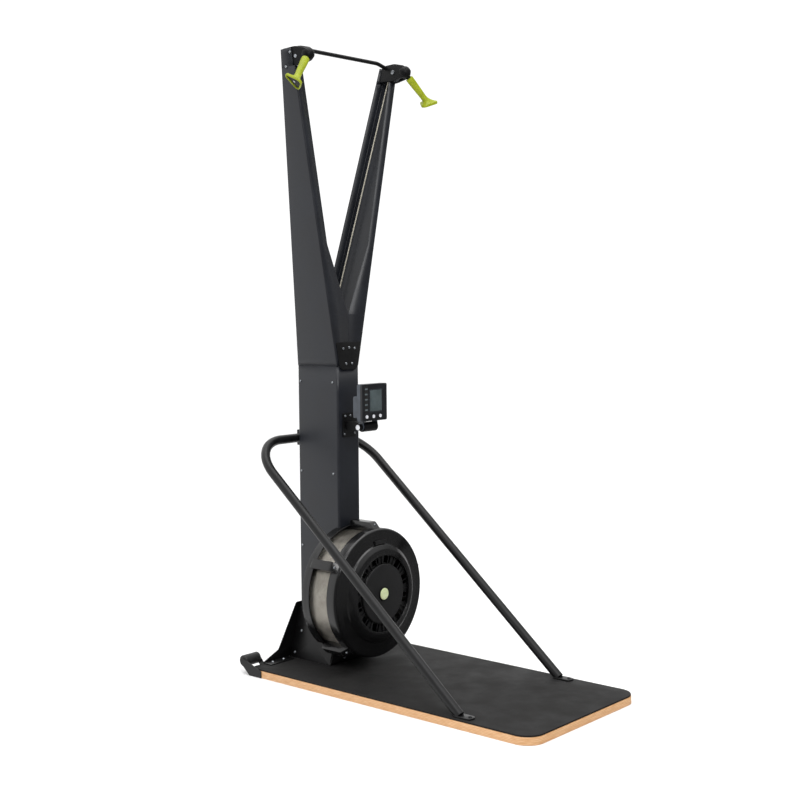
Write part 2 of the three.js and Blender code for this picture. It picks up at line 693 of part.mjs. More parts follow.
// Crossbar: a thin rod whose ends bend down to the inner cheeks of the housings
function makeCrossbar() {
  const low = CROSSBAR_Z - CROSSBAR_DROP;
  const cheek = PULLEY_X + (low - PULLEY_Z) * ARM_SLOPE - HOUSING_HALF / Math.cos(ARM_ANGLE);
  const bend = Math.atan(CROSSBAR_DROP / CROSSBAR_FALL);
  const rim = (CROSSBAR_DIAMETER / 2) * (Math.sin(bend) - Math.cos(bend) * ARM_SLOPE);
  const end = cheek - GAP - rim;
  const points = [
    [-end, CROSSBAR_Y, low],
    [-end + CROSSBAR_FALL, CROSSBAR_Y, CROSSBAR_Z],
    [end - CROSSBAR_FALL, CROSSBAR_Y, CROSSBAR_Z],
    [end, CROSSBAR_Y, low],
  ];
  const bar = tubeAlong(roundedPath(points, CROSSBAR_BEND), CROSSBAR_DIAMETER / 2, ROUND_CORD);
  add("crossbar", bar, BLACK_PAINT);
}

// Handles, each in a group whose Z axis is the pull direction: a cord stop, then a grip that narrows and ends
// in a tilted, hollow, three-cornered flare
function makeHandles() {
  const across = new THREE.Vector3(0, 0, 1).addScaledVector(PULL, -PULL.z).normalize();
  const beside = new THREE.Vector3().crossVectors(PULL, across);
  const basis = new THREE.Matrix4().makeBasis(across, beside, PULL);
  const nose = new THREE.Vector3(PULLEY_X, NOSE_Y, PULLEY_Z);
  const sides = makeSides(nose, new THREE.Quaternion().setFromRotationMatrix(basis));
  const along = (profile, facets) => turned(profile, facets).rotateX(Math.PI / 2);

  const start = NOSE_RADIUS + 2 * GAP;
  const stopEnd = start + STOP_LENGTH;
  const stop = [[0, start], [STOP_RADIUS, start], [STOP_RADIUS, stopEnd], [0, stopEnd]];
  addPair("cord_stop", along(stop, ROUND_SMALL), BLACK_PLASTIC, sides);

  const top = stopEnd + GAP;
  const shares = GRIP_PLACE_SHARES;
  const profile = [
    [0, top],
    [GRIP_TOP_RADIUS - GRIP_EDGE, top],
    [GRIP_TOP_RADIUS, top + GRIP_EDGE],
    [GRIP_TOP_RADIUS, top + GRIP_LENGTH * shares.collar],
    [GRIP_MIDDLE_RADIUS, top + GRIP_LENGTH * shares.middle],
    [GRIP_NECK_RADIUS, top + GRIP_LENGTH * shares.neck],
    [GRIP_NECK_RADIUS, top + GRIP_LENGTH],
    [0, top + GRIP_LENGTH],
  ];
  const shaft = along(profile, ROUND_MEDIUM);
  const flare = (inset) => {
    const [reach, corner] = [FLARE_REACH - FLARE_CORNER, FLARE_CORNER - inset];
    const shape = new THREE.Shape();
    for (let i = 0; i < FLARE_CORNERS; i++) {
      const middle = (2 * Math.PI * (i + 0.5)) / FLARE_CORNERS;
      const half = Math.PI / FLARE_CORNERS;
      shape.absarc(reach * Math.cos(middle), reach * Math.sin(middle), corner, middle - half, middle + half);
    }
    return shape;
  };
  const rootStart = -FLARE_ROOT_LENGTH;
  const root = [[0, 0], [FLARE_ROOT_RADIUS, 0], [GRIP_NECK_RADIUS, rootStart], [0, rootStart]];
  const end = joined(laid(flare(0), 0, FLARE_THICK), along(root, ROUND_MEDIUM));
  const recess = laid(flare(FLARE_RIM), FLARE_THICK - FLARE_RECESS, FLARE_RECESS + OVERRUN);
  for (const { prefix, group } of sides) {
    const tilt = THREE.MathUtils.degToRad(FLARE_TILT_DEG);
    const turn = THREE.MathUtils.degToRad(prefix === "right_" ? FLARE_TURN_DEG.right : FLARE_TURN_DEG.left);
    const placed = (shape) => shape.clone().rotateY(tilt).rotateZ(turn).translate(0, 0, top + GRIP_LENGTH);
    add(prefix + "handle", cut(joined(shaft, placed(end)), placed(recess)), LIME, group);
  }
}

// Drive cords: from the drums up the column and the arm, over the pulley and out of the housing's mouth. The
// offsets from the right-hand pulley's centre are chosen by hand: up its back, over it and into the nose.
const CORD_OVER_PULLEY = [
  [-0.8, 27.7, -3.9],
  [0, 28, 0],
  [1.9, 26.3, 9.4],
  [3.5, 21.4, 17.6],
  [4.7, 14, 23.8],
  [5.4, 4.9, 27],
  [5.4, -4.9, 27],
  [4.7, -14, 23.8],
  [4, -19.1, 20.1],
  [2.1, -30.5, 10.5],
  [0.6, -39.5, 2.8],
  [2, -43.8, -2.4],
  [14.3, -47.9, -16],
];
const CORD_FOOT_X = -27.6;

function makeCords() {
  const [x, y] = [HALF_WIDTH - ARM_FLANGE / 2, COLUMN_BACK - CORD_FROM_BACK];
  const seat = [COLUMN_TOP - CORD_SEAT_BELOW, COLUMN_TOP + CORD_SEAT_ABOVE].map((z) => [x, y, z]);
  const over = CORD_OVER_PULLEY.map(([dx, dy, dz]) => [PULLEY_X + dx, PULLEY_Y + dy, PULLEY_Z + dz]);
  const route = [...seat, ...over];
  const mirrored = route.map(([dx, dy, dz]) => [-dx, dy, dz]);
  const radius = CORD_DIAMETER / 2;
  const rightFoot = [CORD_FOOT_X, 0, FAN_Z];
  const leftFoot = [CORD_FOOT_X, -DRUM_SPACING, FAN_Z];
  add("right_drive_cord", tubeAlong([rightFoot, ...route], radius, ROUND_CORD), CORD);
  add("left_drive_cord", tubeAlong([leftFoot, ...mirrored], radius, ROUND_CORD), CORD);
}

// Fan housing: a rear shell whose rim ends in a lip beside the column, a perforated band, and a stepped front
// shell with lugs that reach back over the band to the rear shell's rim
function makeFanHousing() {
  const rim = FAN_BACK - REAR_SHELL_RIM;
  const rear = [
    [SHAFT_HOLE_RADIUS, COLUMN_FRONT - GAP],
    [REAR_PAD_RADIUS, COLUMN_FRONT - GAP],
    [REAR_PAD_RADIUS, FAN_BACK],
    [REAR_SHELL_RADIUS - SHELL_WALL, FAN_BACK],
    [REAR_SHELL_RADIUS, FAN_BACK - SHELL_WALL],
    [REAR_SHELL_RADIUS, rim],
    [REAR_SHELL_RADIUS - SHELL_WALL, rim],
    [REAR_SHELL_RADIUS - SHELL_WALL, FAN_BACK - SHELL_WALL],
    [SHAFT_HOLE_RADIUS, FAN_BACK - SHELL_WALL],
  ];
  const lipBack = COLUMN_FRONT + REAR_LIP_LENGTH;
  const lip = ring(REAR_SHELL_RADIUS - SHELL_WALL, REAR_SHELL_RADIUS, lipBack, FAN_BACK - SHELL_WALL);
  const [lipRoom, away] = [HALF_WIDTH + 2 * GAP, 2 * REAR_SHELL_RADIUS];
  const columnRoom = box(-lipRoom, FAN_BACK, -away, lipRoom, lipBack + OVERRUN, away);
  const bracketRoom = box(-away, FAN_BACK, -away, away, lipBack + OVERRUN, REAR_LIP_BOTTOM - FAN_Z);
  add("fan_rear_shell", joined(turned(rear), cut(lip, columnRoom, bracketRoom)), BLACK_PLASTIC, fan);
  add("perforated_band", ring(BAND_RADIUS - BAND_THICK, BAND_RADIUS, BAND_BACK, BAND_FRONT), SILVER, fan);

  const outer = [
    [FRONT_SHELL_RADIUS, RIM_BACK],
    [FRONT_SHELL_RADIUS, RIM_FRONT],
    [FRONT_SHELL_RADIUS - FRONT_FACE_DROP / 2, (RIM_FRONT + FACE_FRONT) / 2 - FACE_BULGE],
    [SHOULDER_RADIUS, FACE_FRONT],
    [STEP_RADIUS + SHELL_WALL, STEP_FRONT],
    [STEP_RADIUS, DOME_FRONT],
    [(STEP_RADIUS + INTAKE_RADIUS) / 2, (DOME_FRONT + INTAKE_FRONT) / 2 - FACE_BULGE],
    [INTAKE_RADIUS, INTAKE_FRONT],
  ];
  const inner = outer.map(([r, y]) => [r - SHELL_WALL / 2, y + SHELL_WALL]).reverse();
  inner[0] = [INTAKE_RADIUS, INTAKE_FRONT + GRILLE_RECESS + GRILLE_DEPTH];
  inner[inner.length - 1] = [FRONT_SHELL_RADIUS - SHELL_WALL, RIM_BACK];
  const posts = POST_PLACES_DEG.map((place) => {
    const post = sector(BAND_RADIUS + GAP, POST_REACH_RADIUS, POST_SPAN_DEG, rim - GAP, RIM_FRONT);
    return post.rotateY(THREE.MathUtils.degToRad(place));
  });
  const bandRoom = ring(0, BAND_RADIUS + GAP, FAN_BACK, BAND_FRONT - GAP);
  const slotHalf = LEVER_NECK / 2 + 2 * GAP;
  const slotSpan = DAMPER_SWING_DEG + LEVER_NECK_DEG + SLOT_MARGIN_DEG;
  const [slotInner, slotOuter] = [LEVER_RADIUS - slotHalf, LEVER_RADIUS + slotHalf];
  const slot = sector(slotInner, slotOuter, slotSpan, RIM_BACK, STEP_FRONT - OVERRUN);
  const shell = joined(turned([...outer, ...inner]), ...posts);
  add("fan_front_shell", cut(shell, bandRoom, slot), BLACK_PLASTIC, fan);
}

// Part of a ring about the fan's axis, centred on its top, that spans an angle each way.
function sector(inner, outer, spanDeg, back, front) {
  const span = THREE.MathUtils.degToRad(spanDeg);
  const shape = new THREE.Shape();
  shape.absarc(0, 0, outer, Math.PI / 2 - span, Math.PI / 2 + span);
  shape.absarc(0, 0, inner, Math.PI / 2 + span, Math.PI / 2 - span, true);
  return facing(shape, back, back - front);
}

// Intake: ribs round a hub with its cover and pale cap, and the damper ring behind them
function makeIntake() {
  const front = INTAKE_FRONT + GRILLE_RECESS;
  const back = front + GRILLE_DEPTH;
  const outer = INTAKE_RADIUS - GAP;
  const rim = ring(outer - GRILLE_RING, outer, back, INTAKE_FRONT);
  const core = ring(SHAFT_RADIUS + SHELL_WALL, HUB_RADIUS, back, front);
  const [ribStart, ribEnd] = [HUB_RADIUS - SHELL_WALL, outer - GRILLE_RING / 2];
  const ribs = Array.from({ length: RIB_COUNT }, (_, i) => {
    const rib = box(ribStart, front, -RIB_THICK / 2, ribEnd, back, RIB_THICK / 2);
    return rib.rotateY((2 * Math.PI * i) / RIB_COUNT);
  });
  add("intake_grille", joined(rim, core, ...ribs), BLACK_PLASTIC, fan);

  const coverBack = front - GAP;
  const coverFront = coverBack - HUB_THICK;
  const cover = [
    [0, coverBack],
    [HUB_RADIUS, coverBack],
    [HUB_RADIUS, coverFront + HUB_FILLET],
    [HUB_RADIUS - HUB_FILLET, coverFront],
    [0, coverFront],
  ];
  add("hub_cover", turned(cover), GREY_PLASTIC, fan);
  const capBack = coverFront - GAP;
  const cap = [
    [0, capBack],
    [CAP_RADIUS, capBack],
    [CAP_RADIUS, capBack - CAP_HEIGHT / 2],
    [CAP_RADIUS * CAP_TOP_SHARE, capBack - CAP_HEIGHT],
    [0, capBack - CAP_HEIGHT],
  ];
  add("hub_cap", turned(cap, ROUND_MEDIUM), PALE_CAP, fan);

  const ringBack = back + GAP + DAMPER_THICK;
  const plate = ring(HUB_RADIUS - OVERRUN, INTAKE_RADIUS + OVERRUN, ringBack, ringBack - DAMPER_THICK);
  const windowOuter = INTAKE_RADIUS - GRILLE_RING;
  const width = (2 * Math.PI * windowOuter * DAMPER_WINDOW_SHARE) / DAMPER_WINDOWS;
  const windows = Array.from({ length: DAMPER_WINDOWS }, (_, i) => {
    const [y0, y1] = [ringBack - OVERRUN, ringBack + OVERRUN];
    const hole = box(HUB_RADIUS + SHELL_WALL, y0, -width / 2, windowOuter, y1, width / 2);
    return hole.rotateY((2 * Math.PI * (i + 0.5)) / DAMPER_WINDOWS);
  });
  const inside = FACE_FRONT + SHELL_WALL + DAMPER_THICK;
  const tabBack = STEP_FRONT - GAP;
  const tabFront = tabBack - LEVER_THICK;
  const [neckInner, neckOuter] = [LEVER_RADIUS - LEVER_NECK / 2, LEVER_RADIUS + LEVER_NECK / 2];
  const ringFront = ringBack - DAMPER_THICK;
  const riser = sector(INTAKE_RADIUS, INTAKE_RADIUS + OVERRUN, LEVER_NECK_DEG, inside, ringFront);
  const link = sector(INTAKE_RADIUS, neckOuter, LEVER_NECK_DEG, inside, inside - DAMPER_THICK);
  const neck = sector(neckInner, neckOuter, LEVER_NECK_DEG, inside, tabFront);
  const [low, high] = [LEVER_RADIUS - LEVER_SIZE / 2, LEVER_RADIUS + LEVER_SIZE / 2];
  const tab = sector(low, high, LEVER_SPAN_DEG / 2, tabBack, tabFront);
  const damper = joined(cut(plate, ...windows), riser, link, neck, tab);
  add("damper_ring", damper, GREY_PLASTIC, fan);
}

// Flywheel with its vanes on the shaft, and the drive parts in the foot of the column
function makeDrive() {
  const rotorBack = BAND_BACK - OVERRUN;
  const rotorFront = rotorBack - ROTOR_LENGTH;
  const bore = SHAFT_RADIUS + GAP;
  const disc = ring(bore, ROTOR_RADIUS, rotorBack, rotorBack - ROTOR_DISC);
  const hub = ring(bore, ROTOR_HUB_RADIUS, rotorBack, rotorFront, ROUND_MEDIUM);
  const vaneEnd = ROTOR_RADIUS - VANE_THICK;
  const vanes = Array.from({ length: VANE_COUNT }, (_, i) => {
    const vane = box(VANE_INNER, rotorFront, -VANE_THICK / 2, vaneEnd, rotorBack, VANE_THICK / 2);
    return vane.rotateY((2 * Math.PI * i) / VANE_COUNT);
  });
  add("flywheel", joined(disc, hub, ...vanes), STEEL, fan);

  const shaftFront = rotorFront - ROTOR_FRONT_CLEARANCE;
  add("flywheel_shaft", rod([0, shaftFront, 0], [0, DRIVE_BACK, 0], SHAFT_RADIUS), STEEL, fan);
  const bearing = (y) => ring(bore, BEARING_RADIUS, y, y + BEARING_WIDTH, ROUND_MEDIUM);
  add("front_bearing", bearing(DRIVE_FRONT), STEEL, fan);
  add("rear_bearing", bearing(DRIVE_BACK - BEARING_WIDTH), STEEL, fan);

  const [half, tall] = [DRIVE_WALL_WIDTH / 2, DRIVE_WALL_HEIGHT / 2];
  const wall = (y) => box(-half, y, -tall, half, y + BEARING_WIDTH, tall);
  const floor = box(-half, DRIVE_FRONT, -tall, half, DRIVE_BACK, -tall + DRIVE_FLOOR);
  const frame = joined(wall(DRIVE_FRONT), wall(DRIVE_BACK - BEARING_WIDTH), floor);
  const [seatFront, seatBack] = [DRIVE_FRONT - OVERRUN, DRIVE_BACK + OVERRUN];
  const seat = rod([0, seatFront, 0], [0, seatBack, 0], BEARING_RADIUS + GAP, ROUND_MEDIUM);
  add("drive_bracket", cut(frame, seat), BLACK_PAINT, fan);

  const side = DRUM_WIDTH / 2;
  const profile = [
    [bore, -side],
    [DRUM_FLANGE_RADIUS, -side],
    [DRUM_FLANGE_RADIUS, -side + DRUM_FLANGE],
    [DRUM_RADIUS, -side + DRUM_FLANGE],
    [DRUM_RADIUS, side - DRUM_FLANGE],
    [DRUM_FLANGE_RADIUS, side - DRUM_FLANGE],
    [DRUM_FLANGE_RADIUS, side],
    [bore, side],
  ];
  const drum = (y) => turned(profile, ROUND_MEDIUM).translate(0, y, 0);
  add("right_cord_drum", drum(0), GREY_PLASTIC, fan);
  add("left_cord_drum", drum(-DRUM_SPACING), GREY_PLASTIC, fan);
}

// Return pulley on a pin from the column's front, with the shock cord that hangs over it
function makeReturn() {
  const middle = DRIVE_FRONT + BEARING_WIDTH / 2;
  const half = RETURN_WIDTH / 2;
  const bore = AXLE_DIAMETER / 2 + GAP;
  const groove = SHOCK_CORD_DIAMETER / 2 + GAP;
  const profile = [
    [bore, -half],
    [RETURN_FLANGE, -half],
    [RETURN_GROOVE, -groove],
    [RETURN_GROOVE, groove],
    [RETURN_FLANGE, half],
    [bore, half],
  ];
  add("return_pulley", turned(profile, ROUND_MEDIUM).translate(0, middle, RETURN_Z), GREY_PLASTIC);
  const pin = joined(
    rod([0, DRIVE_FRONT, RETURN_Z], [0, middle + half + GAP, RETURN_Z], AXLE_DIAMETER / 2),
    rod([0, middle + half + GAP, RETURN_Z], [0, middle + half + AXLE_HEAD, RETURN_Z], AXLE_DIAMETER),
  );
  add("return_pulley_pin", pin, STEEL);

  const away = RETURN_GROOVE + SHOCK_CORD_DIAMETER / 2 + 2 * GAP;
  const bottom = DRIVE_TOP + GAP;
  const points = [
    [-away, middle, bottom],
    [-away, middle, RETURN_Z + away],
    [away, middle, RETURN_Z + away],
    [away, middle, bottom],
  ];
  add("return_shock_cord", tubeAlong(roundedPath(points, away), SHOCK_CORD_DIAMETER / 2, ROUND_CORD), CORD);
}

// Monitor arm: a plate on the column, a neck and the pivot head, with the knob that clamps it
function makeMonitorArm() {
  const front = COLUMN_FRONT - GAP - SHEET;
  const [low, high] = [PIVOT_Z - MOUNT_PLATE_BELOW, PIVOT_Z + MOUNT_PLATE_ABOVE];
  const plate = roundedRectangle(-MOUNT_PLATE_HALF, low, MOUNT_PLATE_HALF, high, SHEET);
  add("monitor_bracket", facing(plate, COLUMN_FRONT - GAP, SHEET), BLACK_PAINT);

  const [half, tall] = [NECK_WIDTH / 2, NECK_HEIGHT / 2];
  const neck = box(-half, PIVOT_Y, PIVOT_Z - tall, half, front - GAP, PIVOT_Z + tall);
  const across = (reach, radius, sides) =>
    rod([-reach, PIVOT_Y, PIVOT_Z], [reach, PIVOT_Y, PIVOT_Z], radius, sides);
  const head = across(PIVOT_HALF, PIVOT_RADIUS, ROUND_MEDIUM);
  const reach = PIVOT_HALF + LUG_THICK + 2 * GAP;
  add("monitor_arm", joined(neck, head, across(reach, PIVOT_PIN / 2, ROUND_TUBE)), BLACK_PLASTIC);

  const knobStart = -reach - GAP;
  const knobEnd = knobStart - KNOB_LENGTH;
  const body = rod([knobEnd, PIVOT_Y, PIVOT_Z], [knobStart, PIVOT_Y, PIVOT_Z], KNOB_RADIUS, ROUND_MEDIUM);
  const flutes = Array.from({ length: KNOB_FLUTES }, (_, i) => {
    const angle = (2 * Math.PI * i) / KNOB_FLUTES;
    const [y, z] = [PIVOT_Y + KNOB_RADIUS * Math.cos(angle), PIVOT_Z + KNOB_RADIUS * Math.sin(angle)];
    return rod([knobEnd - OVERRUN, y, z], [knobStart - KNOB_COLLAR, y, z], KNOB_FLUTE_RADIUS, ROUND_CORD);
  });
  add("tilt_knob", cut(body, ...flutes), BLACK_PLASTIC);
}

// Monitor: a rear case with a hump and two lugs, a bezel, the display window, a key strip and three buttons
function makeMonitor() {
  const half = MONITOR_WIDTH / 2;
  const [bottom, top] = [MONITOR_BOTTOM, MONITOR_BOTTOM + MONITOR_HEIGHT];
  const bezelBack = MONITOR_FACE + BEZEL_THICK;
  const caseFront = bezelBack + GAP;
  const rimBack = caseFront + CASE_RIM;
  const humpBack = rimBack + HUMP_DEPTH;
  const humpLow = bottom + HUMP_BOTTOM;
  const humpHigh = humpLow + HUMP_HEIGHT;
  const rim = facing(roundedRectangle(-half, bottom, half, top, CASE_CORNER), rimBack, CASE_RIM);
  const side = half - HUMP_INSET;
  const hump = facing(roundedRectangle(-side, humpLow, side, humpHigh, CASE_CORNER), humpBack,
    HUMP_DEPTH + CASE_WALL);
  const hollowed = (wide, front, low, back, high) =>
    box(-wide + CASE_WALL, front, low + CASE_WALL, wide - CASE_WALL, back - CASE_WALL, high - CASE_WALL);
  const hollow = hollowed(half, caseFront - OVERRUN, bottom, rimBack, top);
  const humpHollow = hollowed(side, caseFront, humpLow, humpBack, humpHigh);
  const lug = (left) => {
    const shape = new THREE.Shape();
    shape.absarc(PIVOT_Y, PIVOT_Z, LUG_RADIUS, Math.PI, 2 * Math.PI);
    shape.lineTo(PIVOT_Y + LUG_RADIUS, humpLow + CASE_WALL);
    shape.lineTo(PIVOT_Y - LUG_RADIUS + LUG_CHAMFER, humpLow + CASE_WALL);
    return sideways(shape, left, LUG_THICK);
  };
  const pinHole = rod([-half, PIVOT_Y, PIVOT_Z], [half, PIVOT_Y, PIVOT_Z], PIVOT_PIN / 2 + GAP);
  const body = joined(cut(joined(rim, hump), hollow, humpHollow), lug(PIVOT_HALF + GAP),
    lug(-PIVOT_HALF - GAP - LUG_THICK));
  add("monitor_case", cut(body, pinHole), GREY_PLASTIC);

  const lensLow = bottom + LENS_BOTTOM;
  const lens = (d) =>
    box(LENS_LEFT - d, MONITOR_FACE + GAP - d, lensLow - d, LENS_LEFT + LENS_WIDTH + d,
      MONITOR_FACE + GAP + LENS_THICK, lensLow + LENS_HEIGHT + d);
  const keysLow = bottom + KEY_BOTTOM;
  const keys = (d) =>
    box(KEY_STRIP_LEFT - d, MONITOR_FACE - GAP - d, keysLow - d, KEY_STRIP_LEFT + KEY_STRIP_WIDTH + d,
      MONITOR_FACE + LENS_THICK, keysLow + KEY_STRIP_HEIGHT + d);
  const buttonZ = bottom + BUTTON_ABOVE;
  const button = (i, from, to, radius) => {
    const x = BUTTON_SHIFT + (i - (BUTTON_COUNT - 1) / 2) * BUTTON_PITCH;
    return rod([x, from, buttonZ], [x, to, buttonZ], radius, ROUND_MEDIUM);
  };
  const holes = Array.from({ length: BUTTON_COUNT }, (_, i) =>
    button(i, MONITOR_FACE - OVERRUN, bezelBack + OVERRUN, BUTTON_RADIUS + GAP));
  const bezel = facing(roundedRectangle(-half, bottom, half, top, CASE_CORNER), bezelBack, BEZEL_THICK);
  add("monitor_bezel", cut(bezel, lens(GAP), keys(GAP), ...holes), BLACK_PLASTIC);
  add("monitor_lens", lens(0), GLASS);
  add("key_strip", keys(0), GREY_PLASTIC);
  for (let i = 0; i < BUTTON_COUNT; i++) {
    const from = MONITOR_FACE - BUTTON_PROUD;
    add("menu_button_" + (i + 1), button(i, from, from + BUTTON_HEIGHT, BUTTON_RADIUS), PALE_CAP);
  }
}

// Brace: one bent tube with its foot plates, held behind the column between saddle and strap
function makeBrace() {
  const radius = TUBE_DIAMETER / 2;
  const saddleFront = COLUMN_BACK + GAP + COVER_THICK + GAP;
  const crossingY = saddleFront + radius + SHEET;
  const footZ = STAND_Z + FOOT_PLATE_THICK / 2;
  const points = [
    [-TUBE_HALF_SPAN, TUBE_FOOT_Y, footZ],
    [-TUBE_HALF_SPAN, crossingY, TUBE_CROSSING_Z],
    [TUBE_HALF_SPAN, crossingY, TUBE_CROSSING_Z],
    [TUBE_HALF_SPAN, TUBE_FOOT_Y, footZ],
  ];
  const tube = tubeAlong(roundedPath(points, TUBE_BEND), radius, ROUND_TUBE);
  const plateFront = TUBE_FOOT_Y - FOOT_PLATE_LENGTH;
  const half = FOOT_PLATE_WIDTH / 2;
  const plateBack = TUBE_FOOT_Y + FOOT_PLATE_BACK;
  const corners = [half - SHEET, half - SHEET, SHEET, SHEET];
  const flat = roundedRectangle(TUBE_HALF_SPAN - half, plateFront, TUBE_HALF_SPAN + half, plateBack, corners);
  const plate = laid(flat, STAND_Z, FOOT_PLATE_THICK);
  const floor = box(-BOARD_WIDTH, TUBE_FOOT_Y - BOARD_WIDTH, -BOARD_WIDTH, BOARD_WIDTH, 0, STAND_Z);
  const welded = cut(joined(tube, plate, plate.clone().scale(-1, 1, 1)), floor);
  add("brace_tube", welded, BLACK_PAINT);

  const [wide, tall] = [CLAMP_WIDTH / 2, CLAMP_HEIGHT / 2];
  const [left, right] = [-CLAMP_WIDTH, CLAMP_WIDTH].map((x) => [x, crossingY, TUBE_CROSSING_Z]);
  const groove = rod(left, right, radius + GAP, ROUND_MEDIUM);
  const [low, high] = [TUBE_CROSSING_Z - tall, TUBE_CROSSING_Z + tall];
  const saddle = box(-wide, saddleFront, low, wide, crossingY - GAP / 2, high);
  const strap = box(-wide, crossingY + GAP / 2, low, wide, crossingY + radius + SHEET, high);
  add("brace_saddle", cut(saddle, groove), BLACK_PAINT);
  add("brace_strap", cut(strap, groove), BLACK_PAINT);
}

// Transport rollers: each turns on the axle of a folded bracket round the board's back corner
function makeRollers() {
  const side = BOARD_WIDTH / 2 + GAP;
  const outside = side + SHEET;
  const innerCheek = side - GAP - ROLLER_LENGTH - 2 * GAP;
  const webBack = BOARD_BACK + GAP + SHEET;
  const eye = (y0, z0) => {
    const shape = new THREE.Shape();
    shape.moveTo(y0, z0);
    shape.lineTo(webBack, z0);
    shape.absarc(ROLLER_Y, ROLLER_Z, ROLLER_EYE_RADIUS, -Math.PI / 4, Math.PI * 0.75);
    shape.lineTo(y0, ROLLER_WEB_TOP);
    return shape;
  };
  const outerCheek = sideways(eye(ROLLER_BRACKET_FRONT, GAP), side, SHEET);
  const inner = sideways(eye(BOARD_BACK + GAP, GAP), innerCheek - SHEET, SHEET);
  const web = box(innerCheek - SHEET, BOARD_BACK + GAP, GAP, outside, webBack, ROLLER_WEB_TOP);
  const [axleStart, axleEnd] = [innerCheek - SHEET, outside].map((x) => [x, ROLLER_Y, ROLLER_Z]);
  const axle = rod(axleStart, axleEnd, AXLE_DIAMETER / 2);
  addPair("roller_bracket", joined(outerCheek, inner, web, axle), BLACK_PAINT);

  const rollerHalf = ROLLER_LENGTH / 2;
  const roller = ring(AXLE_DIAMETER / 2 + GAP, ROLLER_RADIUS, -rollerHalf, rollerHalf, ROUND_MEDIUM);
  const middle = innerCheek + GAP + rollerHalf;
  addPair("roller", roller.rotateZ(Math.PI / 2).translate(middle, ROLLER_Y, ROLLER_Z), RUBBER);
}

makeBoard();
makeBase();
makeColumn();
makeArms();
makeJoint();
makePulleys();
makeCrossbar();
makeHandles();
makeCords();
makeFanHousing();
makeIntake();
makeDrive();
makeReturn();
makeMonitorArm();
makeMonitor();
makeBrace();
makeRollers();

export default machine;
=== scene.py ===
"""A free-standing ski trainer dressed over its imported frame. Sizes are in millimetres until a mesh is made."""
import math

import bmesh
import bpy
import numpy as np
from mathutils import Matrix, Vector


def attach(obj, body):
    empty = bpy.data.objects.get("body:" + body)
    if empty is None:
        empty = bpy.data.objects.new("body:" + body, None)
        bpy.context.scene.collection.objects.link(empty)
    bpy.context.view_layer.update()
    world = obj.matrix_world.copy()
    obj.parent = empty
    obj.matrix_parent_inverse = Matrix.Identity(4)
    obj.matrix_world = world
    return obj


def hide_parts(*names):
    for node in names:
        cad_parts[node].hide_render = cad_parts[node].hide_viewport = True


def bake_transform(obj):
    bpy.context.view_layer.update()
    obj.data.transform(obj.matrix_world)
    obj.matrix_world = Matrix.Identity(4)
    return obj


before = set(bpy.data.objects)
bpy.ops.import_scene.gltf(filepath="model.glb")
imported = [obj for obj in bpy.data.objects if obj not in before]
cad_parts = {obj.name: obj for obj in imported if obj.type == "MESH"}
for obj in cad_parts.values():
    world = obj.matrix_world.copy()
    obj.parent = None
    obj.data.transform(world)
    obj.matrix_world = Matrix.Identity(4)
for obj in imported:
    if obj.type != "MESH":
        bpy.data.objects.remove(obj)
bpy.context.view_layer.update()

# Camera
# It stands in front of the machine and to its left, just over halfway up, turned a little down, with a long lens
# that takes the whole machine in.
eye = Vector((-3.4056, -3.2892, 1.3039))
heading, dip, roll = np.radians([49.09, 4.256, -0.428])
ahead = np.array([math.sin(heading) * math.cos(dip), math.cos(heading) * math.cos(dip), -math.sin(dip)])
level = np.array([math.cos(heading), -math.sin(heading), 0.0])
above = np.cross(level, ahead)
to_right = level * math.cos(roll) + above * math.sin(roll)
to_top = above * math.cos(roll) - level * math.sin(roll)
camera = bpy.data.objects.new("camera", bpy.data.cameras.new("camera"))
camera.data.sensor_width = 36.0
camera.data.lens = 59.763
camera.matrix_world = Matrix.Translation(eye) @ Matrix((to_right, to_top, -ahead)).transposed().to_4x4()
bpy.context.scene.collection.objects.link(camera)
bpy.context.scene.camera = camera

# Drive cords and shock cord
# Each drive cord is a braided polyester rope that runs from its drum up the column and the arm, over the top
# pulley and out of the housing's nose. The shock cord, of the same braid, hangs over a pulley inside the column.


def linear(code):
    """An sRGB colour like #8090a0 as linear red, green, blue and 1: shares up to 0.04045 are divided by 12.92, and
    the rest are raised to 2.4 after (share + 0.055) / 1.055."""
    share = np.array([int(code[i:i + 2], 16) for i in (1, 3, 5)]) / 255
    return (*np.where(share <= 0.04045, share / 12.92, ((share + 0.055) / 1.055) ** 2.4), 1.0)


def node(tree, kind, inputs=(), **settings):
    """Adds a node, sets its own properties, and gives each input that is named a value or a link."""
    made = tree.nodes.new(kind)
    for key, value in settings.items():
        setattr(made, key, value)
    for key, value in dict(inputs).items():
        if isinstance(value, bpy.types.NodeSocket):
            tree.links.new(value, made.inputs[key])
        else:
            made.inputs[key].default_value = value
    return made


